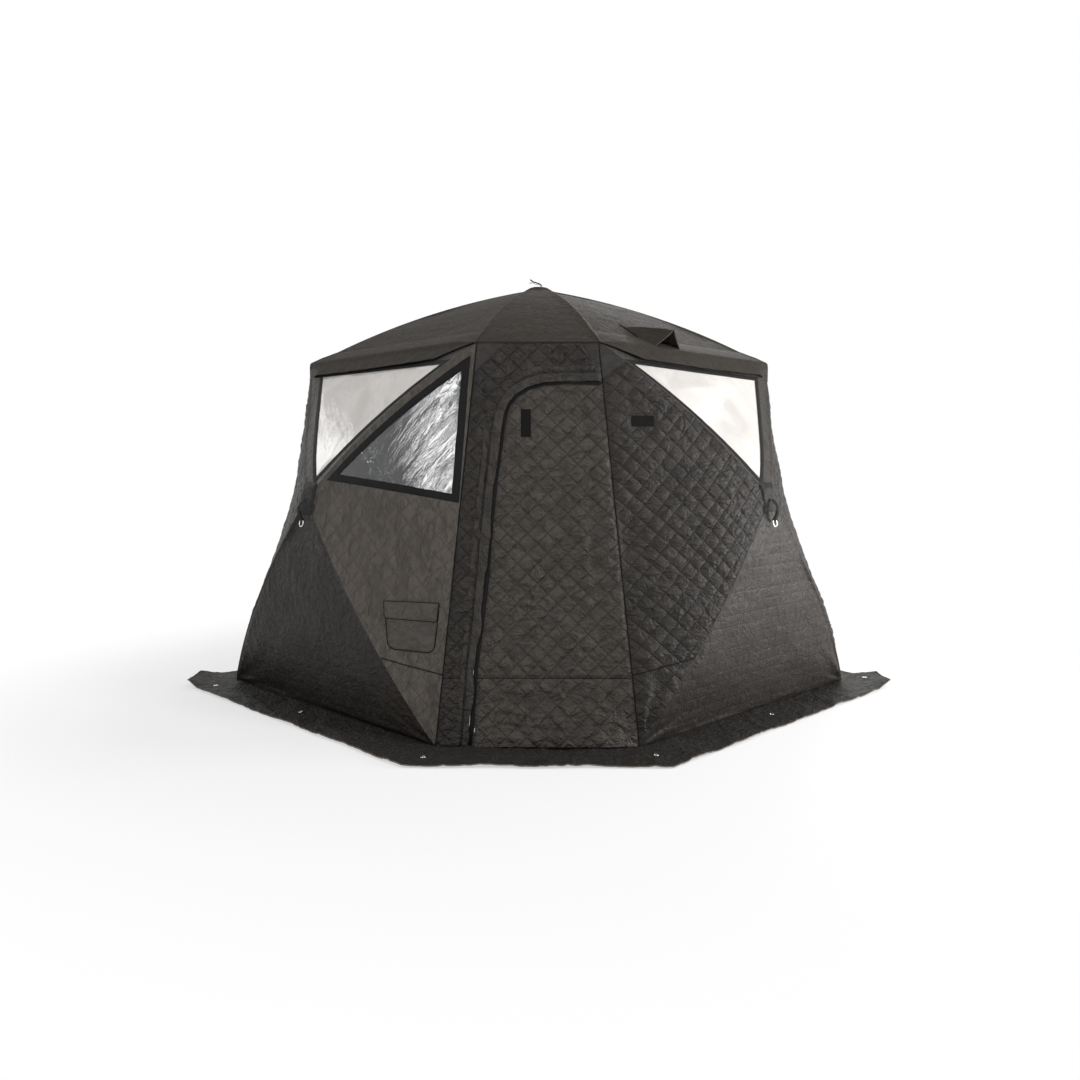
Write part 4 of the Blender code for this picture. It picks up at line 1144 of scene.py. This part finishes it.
def door_relief(q):
    """Quilting with folds of the door wall's cloth: looser low down, where it sags over the skirt."""
    x, v = q[:, 0], q[:, 1]
    patchy = 0.8 + 0.4 * waves(q, 0.25, 0.25, 9001)
    patchy = patchy * (1 + 0.35 * waves(q, 0.07, 0.07, 9003))
    height = 0.0064 * patchy * quilting(q) * (0.55 + 0.45 * smooth((v - 0.25) / 0.08))
    height += 0.007 * waves(q, 0.20, 0.30, 9002)
    low = 1 - smooth((v - 0.22) / 0.10)
    top = smooth((v - 1.50) / 0.12)
    height += (0.0050 + 0.0065 * low + 0.0060 * top) * crumples(q, 0.10, 9010)
    height += 0.0050 * crumples(q, 0.040, 9020) + 0.0048 * wrinkles(q, (0.060, 0.019), 9040)
    height += (0.0050 * low + 0.0040 * top) * wrinkles(q, (0.150, 0.030), 9050)
    height += 0.0025 * puckers(q, DOOR_SEAM, 9030)
    for line, width, size in DOOR_CREASES:
        height += size * np.exp(-(line_distance(q, np.array(line)) / width) ** 2)
    height += 0.030 * low * smooth((0.20 - v) / 0.20) * smooth((x + 0.33) / 0.10) * smooth((0.42 - x) / 0.10)
    edge = np.minimum(seam_x(v) - np.abs(x), DOOR_HEIGHT - v)
    cover = smooth(edge / 0.02)
    for line, calm in (((*ZIP_LINE, (seam_x(ZIP_TOP), ZIP_TOP)), 0.020), (DOOR_SEAM, 0.002)):
        cover = cover * smooth((line_distance(q, np.array(line)) - calm) / 0.012)
    return height * cover * calmed(q, (HOOK_DOOR, PATCH_LEFT, PATCH_RIGHT))


def door_wall():
    """The cloth left of the door and over it, and the two corner patches."""
    line = [(x - 0.0015, v + 0.001) for x, v in ZIP_LINE]
    outline = [(-seam_x(DOOR_HEIGHT), DOOR_HEIGHT), (-seam_x(0.0), 0.0), (line[0][0], 0.0)] + line
    outline += [(seam_x(ZIP_TOP), ZIP_TOP + 0.001), (seam_x(DOOR_HEIGHT), DOOR_HEIGHT)]
    flat, faces = fill(outline, (), DOOR_CELL)
    # The front wall's darker cloth is painted shade of the roof overhang.
    cloth_piece("front_wall_cloth", door_place, flat, faces, door_relief(flat), SHADED_FRONT, "tent_base",
                ["front_panel"])
    for label, loop in (("left", PATCH_LEFT), ("right", PATCH_RIGHT)):
        patch_piece(f"front_wall_patch_{label}", door_place, loop, PATCH, 0.012, hem=0.006, body="tent_base")


def door_sewn_line(name, start, end, body):
    # A near-black tube along the seam: thread, with painted shade of the seam's groove.
    line = resample([(start, SEAM_HEIGHT), (end, SEAM_HEIGHT)], 0.008, closed=False)
    path = door_place(line, door_relief(line) + 0.0004)
    swept_piece(name, [path], circle(SEWN_RADIUS, 6), PIPING, body)


def door():
    """The door's cloth with its hook tape and zip tape, and the sewn line that goes on beside it."""
    line = [(x + 0.0015, v - 0.001) for x, v in ZIP_LINE]
    outline = [(line[0][0], 0.004)] + line[1:] + [(seam_x(ZIP_TOP, 0.0012), ZIP_TOP - 0.001)]
    outline += [(seam_x(0.6, 0.0012), 0.6), (seam_x(0.004, 0.0012), 0.004)]
    outline = outline[::-1]
    flat, faces = fill(outline, (), DOOR_CELL)
    cloth_piece("door_cloth", door_place, flat, faces, door_relief(flat), DOOR, "door", ["door_leaf"])
    line = [(x + 0.009, v - 0.006) for x, v in ZIP_LINE] + [(seam_x(ZIP_TOP, 0.01), ZIP_TOP - 0.010)]
    tape = door_place(resample(line, 0.012, closed=False), 0.0022)
    swept_piece("door_zip_tape", [tape], band(*ZIP_TAPE), BLACK, "door", start=DOOR_ACROSS)
    door_sewn_line("door_sewn_line", -0.268, seam_x(SEAM_HEIGHT, 0.006), "door")
    door_sewn_line("front_wall_sewn_line", -seam_x(SEAM_HEIGHT, 0.004), -0.279, "tent_base")
    patch_piece("door_hook_tape", door_place, HOOK_DOOR, HOOKS, 0.006, 0.0008, hem=0.003, turn=0.0,
                body="door")


def storm_flap():
    """The loose flap that covers the zip: sewn along its outer edge and its middle, free along its inner
    edge."""
    outer = resample([*FLAP_LINE, (seam_x(FLAP_TOP, 0.004), FLAP_TOP)], 0.006, closed=False)
    inner = [*[(x + 0.004, v - 0.003) for x, v in ZIP_LINE], (seam_x(ZIP_TOP, 0.004), ZIP_TOP - 0.003)]
    inner, spread, outer_run = np.array(inner), run_length(inner), run_length(outer)
    run = outer_run / outer_run[-1] * spread[-1]
    inner = np.column_stack([np.interp(run, spread, inner[:, k]) for k in range(2)])
    rows = np.array([0.0, 0.04, 0.09, 0.15, 0.21, 0.27, 0.33, 0.38, 0.41, 0.44, 0.49, 0.55, 0.61, 0.67, 0.73,
                     0.79, 0.84, 0.89, 0.93, 0.97, 1.0])
    n, m = len(outer), len(rows)
    middle = 0.42  # where the second seam runs
    width = np.linalg.norm(inner - outer, axis=1)
    still = np.zeros(n)
    wave = noise(run / 0.10, still, 9100) + 0.5 * noise(run / 0.035, still, 9101)
    loose = smooth((1.45 - outer[:, 1]) / 0.5)
    points, flat = [], []
    for r in rows:
        line = (1 - r) * outer + r * inner
        line = line + np.column_stack([0.007 * wave * smooth((r - 0.6) / 0.4) * loose, still])
        if r < middle:
            puff = 0.0010 + 0.0050 * math.sin(math.pi * r / middle) ** 0.6
        else:
            puff = 0.0010 + 0.0115 * math.sin(math.pi * (r - middle) / 0.68) ** 0.5
        at = np.column_stack([r * width, run])
        free = smooth(r / 0.10) * (1 - 0.75 * math.exp(-((r - middle) / 0.03) ** 2))
        height = puff + free * (0.0030 * noise(run / 0.045, r * 1.5 + still, 9102)
                                + 0.0040 * wrinkles(at, (0.060, 0.016), 9110)
                                + 0.0035 * crumples(at, 0.055, 9120))
        height = height + 0.003 * wave * smooth((r - 0.5) / 0.3)
        points.append(door_place(line, np.maximum(height, 0.0006)))
        flat.append(at)
    seams = [door_place(outer, 0.0016), points[8] + 0.0006 * DOOR_OUT, points[10] + 0.0004 * DOOR_OUT]
    points, flat = np.vstack(points), np.vstack(flat)
    faces = grid_faces(m, n)[:, ::-1]
    flap = two_sided("storm_flap_cloth", points, points - FLAP_THICK * DOOR_OUT, faces, flat, FLAP)
    keep(flap, "tent_base", nodes=["storm_flap"])
    swept_piece("storm_flap_seam", seams, circle(0.0013, 6), PIPING, "tent_base")


# Trim of the walls

def sewn_line(name, panel, ends, radius, lift):
    """A thin sewn line on a panel between flat points."""
    path = panel.skin(resample(ends, 0.008, closed=False), lift)
    swept_piece(name, [path], circle(radius, 6), PIPING, panel=panel)


def wall_trim():
    for wall in WALLS:
        for side in ("front", "rear"):
            panel = PANELS[wall, side]
            # The lower sewn lines are near-black tubes: thread, with painted shade of the seam's groove.
            ends = panel.spots(((0.172, 0.828), (0.003, 0.663)))
            sewn_line(f"{wall}_sewn_line_{side}", panel, ends, 0.0024, 0.0012)
    panel = PANELS["wall_fr", "front"]
    patch_piece("wall_fr_corner_patch", panel, inset(panel.spots(CORNER_PATCH), 0.003), PATCH)
    patch_piece("wall_fr_hook_tape", panel, panel.spots(HOOK_PATCH), HOOKS)


def hemmed(edge, rise, hem, dip, seam, width):
    """Height of a turned edge, by the distance from it: it rises over the hem and dips along its seam."""
    return rise * smooth(edge / hem) - dip * np.exp(-((edge - seam) / width) ** 2)


def hub_patch(name, hub_panels, normal, size, body, look):
    """Rounded reinforcing patch over a hub's cap and the panels that meet there. size is half its width and
    half its height."""
    parts = []
    across = unit(np.cross(UP, normal)) if abs(normal[2]) < 0.9 else np.array([1.0, 0.0, 0.0])
    up = np.cross(normal, across)
    hub_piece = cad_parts[body]
    cap = max(np.array(hub_piece.matrix_world @ v.co) @ normal for v in hub_piece.data.vertices) + 0.0014
    for panel in hub_panels:
        hub = panel.corners[2]
        middle = panel.place(hub[None])[0]
        ways = [unit(panel.corners[k] - hub) for k in (0, 1)]
        rim = []
        for t in np.linspace(0, 1, 25):
            way = unit((1 - t) * ways[0] + t * ways[1])
            world = panel.place((hub + 0.05 * way)[None])[0] - middle
            turn = math.atan2(world @ up, world @ across)
            reach = ((abs(math.cos(turn)) / size[0]) ** 6 + (abs(math.sin(turn)) / size[1]) ** 6) ** (-1 / 6)
            rim.append(hub + reach * way)
        rim = np.array(rim)
        flat, faces = fill(np.vstack([hub[None], rim]), (), 0.007)
        edge = line_distance(flat, rim)
        pole_off = np.minimum(*[np.abs(np.cross(way, flat - hub)) for way in ways])
        lift = 0.0006 + hemmed(edge, 0.0072, 0.016, 0.0010, 0.006, 0.0014)
        lift += 0.0012 * waves(flat, 0.02, 0.02, 9500) * smooth(edge / 0.02) * smooth(pole_off / 0.01)
        points = panel.place(flat, 0.0)
        near = 1 - smooth((np.linalg.norm(flat - hub, axis=1) - HUB_CAP) / 0.014)
        lift += near * np.maximum(cap - points @ normal - lift, 0.0)
        parts.append((points + lift[:, None] * normal, faces[:, ::-1] if panel.flip else faces, flat))
    patch = joined(name, parts, look)
    keep(patch, body)


def hub_looks():
    for wall in WALLS:
        sides = [PANELS[wall, side] for side in ("top", "front", "bottom", "rear")]
        hub_patch(f"{wall}_hub_patch", sides, wall_frame(wall)[4], (0.064, 0.080), f"{wall}_hub", HUB_PATCH)
        pull_loop(wall)
    sides = [PANELS["roof", label] for label in ROOF_SIDES]
    hub_patch("roof_hub_patch", sides, UP, (0.080, 0.078), "roof_hub", ROOF)


# Pull loops: offsets of the webbing's line from its pin, up the wall and outward
PULL = ((0.004, 0.0010), (-0.006, 0.0100), (-0.018, 0.0190), (-0.034, 0.0250), (-0.052, 0.0255),
        (-0.068, 0.0215), (-0.082, 0.0140), (-0.0925, 0.0080), (-0.0985, 0.0045), (-0.1003, -0.0005),
        (-0.0965, -0.0042), (-0.0905, -0.0008), (-0.0800, 0.0095), (-0.0670, 0.0172), (-0.0540, 0.0212))


def pull_loop(wall):
    """Webbing folded round a steel ring, bowed out from the hub and sewn with a cross of stitches."""
    body = f"{wall}_strap"
    normal, hub = wall_frame(wall)[4:]
    across = unit(np.cross(UP, normal))
    up = np.cross(normal, across)
    pin = hub + 0.0125 * normal - 0.012 * up
    line = smoothed([pin + v * up + w * normal for v, w in PULL])
    swept_piece(f"{wall}_pull_strap", [line], band(*PULL_WEBBING), BLACK, body, nodes=[body], start=across)
    x = unit(np.cross(normal, (0.31, 0.42, 0.85)))
    y = np.cross(normal, x)
    centre = pin - 0.111 * up + 0.0006 * normal
    ring = [centre + RING_RADIUS * (math.cos(a) * x + math.sin(a) * y) for a in turns(36)]
    swept_piece(f"{wall}_pull_ring", [ring], circle(RING_WIRE, 12), STEEL, body, closed=True)
    bowed = np.array(PULL[:8])[::-1]

    def stitch(x0, v0, x1, v1):
        t = np.linspace(0, 1, 9)
        v = v0 + t * (v1 - v0)
        w = np.interp(v, bowed[:, 0], bowed[:, 1]) + 0.0012
        return [pin + x * across + a * up + b * normal for x, a, b in zip(x0 + t * (x1 - x0), v, w)]

    box = ((-0.009, -0.078), (0.009, -0.078), (0.009, -0.054), (-0.009, -0.054))
    lines = [stitch(*p, *q) for p, q in zip(box, box[1:] + box[:1])]
    lines += [stitch(*box[0], *box[2]), stitch(*box[1], *box[3])]
    swept_piece(f"{wall}_pull_stitches", lines, circle(0.0006, 5), PATCH, body)


def smoothed(line, steps=6):
    """A smooth curve through points."""
    p = np.array(line, float)
    p = np.vstack([2 * p[0] - p[1], p, 2 * p[-1] - p[-2]])
    out = []
    for i in range(1, len(p) - 2):
        for t in np.arange(steps) / steps:
            out.append(0.5 * (2 * p[i] + (p[i + 1] - p[i - 1]) * t
                              + (2 * p[i - 1] - 5 * p[i] + 4 * p[i + 1] - p[i + 2]) * t ** 2
                              + (3 * p[i] - p[i - 1] - 3 * p[i + 1] + p[i + 2]) * t ** 3))
    return np.array(out + [p[-2]])


def roof_pull():
    """Short pull strap on the roof hub, with two loose ends."""
    pin = peak() + 0.0115 * UP
    tails = (
        ((0.014, 0.000, -0.006), (0.017, 0.001, 0.008), (0.006, 0.003, 0.020), (-0.012, 0.002, 0.026),
         (-0.030, -0.003, 0.031), (-0.046, -0.004, 0.042)),
        ((0.012, -0.004, -0.006), (0.010, -0.006, 0.008), (-0.002, -0.007, 0.015), (-0.018, -0.006, 0.017),
         (-0.034, -0.002, 0.025), (-0.050, 0.002, 0.024)),
    )
    paths = [smoothed([pin + np.array(p) for p in tail], 8) for tail in tails]
    swept_piece("roof_pull_strap", paths, band(*ROOF_WEBBING), BLACK, "roof_strap", nodes=["roof_strap"],
                start=np.array([0.0, 1.0, 0.25]))


# Flue port on the front left wall

def port_loop(panel, shares, rounded=(), radius=0.02):
    """A loop of flat points from seam shares, with some corners rounded."""
    corners = panel.spots(shares)
    loop = []
    for i, here in enumerate(corners):
        before, after = corners[i - 1], corners[(i + 1) % len(corners)]
        if i not in rounded:
            loop.append(here)
            continue
        start, end = here + radius * unit(before - here), here + radius * unit(after - here)
        for t in np.linspace(0, 1, 6):
            loop.append((1 - t) ** 2 * start + 2 * t * (1 - t) * here + t * t * end)
    return np.array(loop)


def welt(name, panel, loop, step, lift, radius, body=None):
    rim = panel.place(resample(loop, step), lift)
    swept_piece(name, [rim], circle(radius, 8), PIPING, body, None if body else panel, closed=True)


def flue_port():
    panel = PANELS["wall_fl", "front"]
    loop = port_loop(panel, STOVE_PORT, (2, 3), 0.035)
    flat, faces = fill(loop, (), 0.009)
    edge = loop_distance(flat, loop)
    lift = 0.0012 + hemmed(edge, 0.0016, 0.006, 0.0012, 0.012, 0.003)
    lift += 0.0035 * crumples(flat, 0.07, 9200) * smooth((edge - 0.012) / 0.03)
    cloth_piece("flue_port_patch", panel, flat, faces, lift, PORT, nodes=["stove_port"], thick=0.0010)
    welt("flue_port_welt", panel, loop, 0.008, 0.0020, 0.0019)
    loop = port_loop(panel, STOVE_FLAP, (2, 3), 0.012)
    flat, faces = fill(loop, (), 0.007)
    edge = loop_distance(flat, loop)
    lift = 0.0058 + hemmed(edge, 0.0012, 0.004, 0.0010, 0.008, 0.0025)
    lift += 0.0022 * crumples(flat, 0.04, 9210) * smooth(edge / 0.02)
    cloth_piece("flue_port_cover", panel, flat, faces, lift, PORT, "flue_flap", ["stove_flap"], thick=0.0016)
    welt("flue_cover_welt", panel, loop, 0.007, 0.0052, 0.0017, "flue_flap")


# Roof vent

def vent_hood():
    """The raised hood, with its mouth held open, over the screen in the roof."""
    panel = PANELS["roof", "front_right"]
    tip, left, right = panel.spots(VENT)
    rows, cols = 20, 29
    t, a = np.meshgrid(np.linspace(0, 1, rows), np.linspace(0, 1, cols), indexing="ij")
    t, a = t.ravel(), a.ravel()
    spread = (0.10 + 0.90 * t)[:, None]
    middle = tip + t[:, None] * ((left + right) / 2 - tip)
    flat = middle + spread * (a[:, None] - 0.5) * (right - left)
    across = np.abs(2 * a - 1)
    arch = np.sqrt((1 - across) ** 2 + 0.0036) - 0.06 * across
    sag = 1 - 0.10 * np.sin(math.pi * across) * t * np.where(a < 0.5, 1.0, 0.6)
    height = 0.0035 + 0.097 * t ** 0.9 * arch / 1.0018 * sag * smooth((1 - across) / 0.02)
    height += 0.0028 * crumples(flat, 0.05, 9400) * smooth((1 - across) / 0.2) * (1 - smooth((t - 0.9) / 0.1))
    points, under = panel.place(flat, height), panel.place(flat, height - HOOD_THICK)
    cut = np.column_stack([(a - 0.5) * HOOD_WIDTH * spread[:, 0], t * 0.24])
    faces = grid_faces(rows, cols)[:, ::-1]
    hood = two_sided("vent_hood_cloth", points, under, faces, cut, ROOF, panel.flip)
    keep(hood, "vent_hood", nodes=["vent_hood"])
    swept_piece("vent_hood_rim", [points[-cols:]], circle(0.0034, 8), PATCH, "vent_hood")
    shares = ((0.3, left), (0.3, right), (0.97, right), (0.97, left))
    loop = np.array([tip + share * (side - tip) for share, side in shares])
    patch_piece("vent_mesh", panel, loop, MESH, lift=0.0010, rise=0.0008, nodes=["vent_screen"])
    flange = inset(np.array([tip, left, right]), -0.014)
    for i, ends in enumerate((flange[[0, 1]], flange[[2, 0]])):
        sewn_line(f"vent_hem_{i}", panel, ends, 0.0013, 0.0008)


# Roof overhang

def valance():
    """The overhang of the roof's cloth: a soft fold over the eave that hangs down over the wall tops."""
    labels = dict(zip(WALLS, ("front_right", "back_right", "back_left", "front_left")))
    count = 121
    columns, flats, run, last = [], [], 0.0, None
    for w, (wall, label) in enumerate(labels.items()):
        top, roof = PANELS[wall, "top"], PANELS["roof", label]
        out = unit(top.face * (1.0, 1.0, 0.0))
        for t in np.linspace(0, 1, count):
            x = t * top.length
            near = min(1.0 if w else t * top.length / 0.16, 1.0 if w < 3 else (1 - t) * top.length / 0.16)
            turn = unit(np.array([*corner(WALLS[wall][1 if t > 0.5 else 0], True)[:2] + (0.0, MID_Y), 0.0]))
            shared = (w or t > 0.5) and (w < 3 or t < 0.5)  # the near corner has another wall's overhang too
            share = smooth(1 - min(x, top.length - x) / 0.10) if shared else 0.0
            way = unit((1 - share) * out + share * turn)
            wave, fine = (float(noise(np.array([x / s + 40 * w]), np.zeros(1), 9301 + k)[0])
                          for k, s in enumerate((0.17, 0.05)))
            drop = max(0.006, (0.080 + 0.010 * math.sin(math.pi * t) + 0.004 * wave) * near)
            rise = 0.016 * near + 0.002
            edge = (1 - t) * top.start + t * top.end
            line = []
            for d, h in ((0.110, 0.0016), (0.075, 0.006), (0.048, 0.011), (0.026, 0.014)):
                spot = np.array([[x * (1 - d / roof.height) + roof.foot * d / roof.height, d]])
                line.append(roof.place(spot, 0.0016 + (h - 0.0016) * near)[0])
            line.append(edge + 0.004 * way + rise * UP)
            line.append(edge + (0.005 + 0.007 * near) * way + 0.60 * rise * UP)
            for d in (0.10, 0.28, 0.50, 0.72, 0.90, 1.0):
                ah = d * drop / top.height
                spot = np.array([[t * (1 - ah) * top.length + ah * top.foot, ah * top.height]])
                lift = 0.0045 + near * (0.0065 + (0.004 + 0.005 * wave + 0.003 * fine) * d ** 2)
                over = top.place(spot, 0.0)[0] + lift * unit(top.face + 0.8 * way * near)
                down = edge + 0.015 * way - d * drop * UP
                line.append((1 - share) * over + share * down)
            run += 0.0 if last is None else float(np.linalg.norm(line[5] - last))
            last = line[5]
            columns.append(line)
            flats.append(np.column_stack([np.full(len(line), run), run_length(line)]))
    points, flat = np.array(columns), np.vstack(flats)
    inner = points.copy()
    faces_out = [unit(PANELS[wall, "top"].face) for wall in labels]
    inner[:, 4:] -= OVERHANG_THICK * np.repeat(faces_out, count, axis=0)[:, None]
    inner[:, :4, 2] -= OVERHANG_THICK
    faces = grid_faces(*points.shape[:2])
    cloth = two_sided("roof_overhang", points.reshape(-1, 3), inner.reshape(-1, 3), faces, flat, ROOF)
    keep(cloth, "tent_base", nodes=["eave_valance"])
    swept_piece("roof_overhang_hem", [points[:, -1]], circle(SEWN_RADIUS, 6), PIPING, "tent_base")


# Rigid CAD nodes that stay

def cad_looks():
    hubs = [f"{wall}_hub" for wall in WALLS] + ["roof_hub"]
    for node, look in [*[(hub, PLASTIC) for hub in hubs], ("door_zip_slider", STEEL)]:
        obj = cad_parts[node]
        obj.data.materials.clear()
        obj.data.materials.append(look)


# Camera, lights, floor

CAMERA_PLACE = (0.022, -5.1412 - MID_Y, 1.1962)
CAMERA_YAW, CAMERA_PITCH = -0.0029, 0.078
CAMERA_LENS = 30.93  # millimetres on a sensor 36 wide
FLOOR_HALF = 40.0
DIM_WORLD = 0.30  # how much of the white world falls on the cloth
LIGHTS = (
    # name, place, aim, size, power
    ("low_right_light", (5.0, -1.0, 1.2), (0.0, -0.5, 1.0), (1.6, 1.6), 215.0),
    ("key_light", (3.4, -3.2, 4.4), (0.0, -0.5, 1.0), (1.6, 1.6), 115.0),
    ("fill_light", (-2.4, -3.6, 4.8), (0.0, -0.5, 1.0), (1.6, 1.6), 20.0),
    ("left_panel", (-2.9, -4.75, 2.85), (-0.45, -1.28, 1.3), (0.85, 1.9), 65.0),
    ("left_back_light", (-4.5, 1.5, 2.6), (0.0, -0.5, 1.0), (1.6, 1.6), 25.0),
    ("top_light", (0.0, 0.6, 6.0), (0.0, -0.3, 1.0), (4.0, 4.0), 30.0),
    ("back_light", (2.0, 5.5, 3.6), (0.0, 0.3, 1.0), (3.0, 3.0), 150.0),
)


def put(name, data, place, ahead):
    """Adds a camera or a lamp that looks along a direction."""
    obj = bpy.data.objects.new(name, data)
    obj.location = place
    obj.rotation_mode = "QUATERNION"
    obj.rotation_quaternion = ahead.to_track_quat("-Z", "Y")
    bpy.context.scene.collection.objects.link(obj)
    return obj


def camera_and_lights():
    level = math.cos(CAMERA_PITCH)
    ahead = Vector((math.sin(CAMERA_YAW) * level, math.cos(CAMERA_YAW) * level, -math.sin(CAMERA_PITCH)))
    camera = put("camera", bpy.data.cameras.new("camera"), CAMERA_PLACE, ahead)
    camera.data.sensor_width = 36.0
    camera.data.lens = CAMERA_LENS
    bpy.context.scene.camera = camera
    for name, place, aim, size, power in LIGHTS:
        lamp = bpy.data.lights.new(name, "AREA")
        lamp.shape, lamp.energy = "RECTANGLE", power
        lamp.size, lamp.size_y = size
        put(name, lamp, place, Vector(aim) - Vector(place))


def white_world():
    """White to the camera and in reflections and clear films, dimmer as light on the cloth."""
    scene = bpy.context.scene
    scene.view_settings.view_transform = "Standard"
    world = scene.world = bpy.data.worlds.new("studio")
    world.use_nodes = True
    nodes = Nodes(world.node_tree)
    background = nodes.tree.nodes["Background"]
    background.inputs["Color"].default_value = (1.0, 1.0, 1.0, 1.0)
    path = nodes.add("LightPath")
    seen = nodes.math("MAXIMUM", path, path.node.outputs["Is Transmission Ray"])
    seen = nodes.math("MAXIMUM", seen, path.node.outputs["Is Glossy Ray"])
    nodes.feed(background.inputs["Strength"], nodes.add("MapRange", seen, 0.0, 1.0, DIM_WORLD, 1.0))


def white_floor():
    """A floor with soft shadows near the tent, which glows white farther off."""
    look = Look("floor")
    at = look.add("TexCoord", out=3)
    centre = look.add("VectorMath", at, (0.0, -0.3, 0.0), operation="DISTANCE", out=1)
    far = look.ramp(centre, 1.9, 3.4, 0.55, 1.0)
    look.set(Base_Color=(0.90, 0.90, 0.90, 1.0), Roughness=0.9, Specular_IOR_Level=0.1)
    white = look.add("Emission", (1.0, 1.0, 1.0, 1.0), 1.0)
    lit = look.add("LightPath")
    seen = look.math("MAXIMUM", lit, look.math("MAXIMUM", lit.node.outputs["Is Glossy Ray"],
                                              lit.node.outputs["Is Transmission Ray"]))
    mixed = look.add("MixShader", look.math("MULTIPLY", far, seen), look.shader.outputs[0], white)
    look.feed(look.out.inputs[0], mixed)
    mesh = bpy.data.meshes.new("floor")
    sides = ((-1, -1), (1, -1), (1, 1), (-1, 1))
    mesh.from_pydata([(x * FLOOR_HALF, y * FLOOR_HALF, -0.0008) for x, y in sides], [], [(0, 1, 2, 3)])
    mesh.materials.append(look.mat)
    floor = bpy.data.objects.new("floor", mesh)
    bpy.context.scene.collection.objects.link(floor)


def main():
    for number, wall in enumerate(WALLS):
        wall_cloth(wall, number)
    roof_cloth()
    poles()
    seam_piping()
    skirt()
    eyelets()
    door_wall()
    door()
    storm_flap()
    wall_trim()
    hub_looks()
    roof_pull()
    flue_port()
    vent_hood()
    valance()
    cad_looks()
    camera_and_lights()
    white_world()
    white_floor()


main()
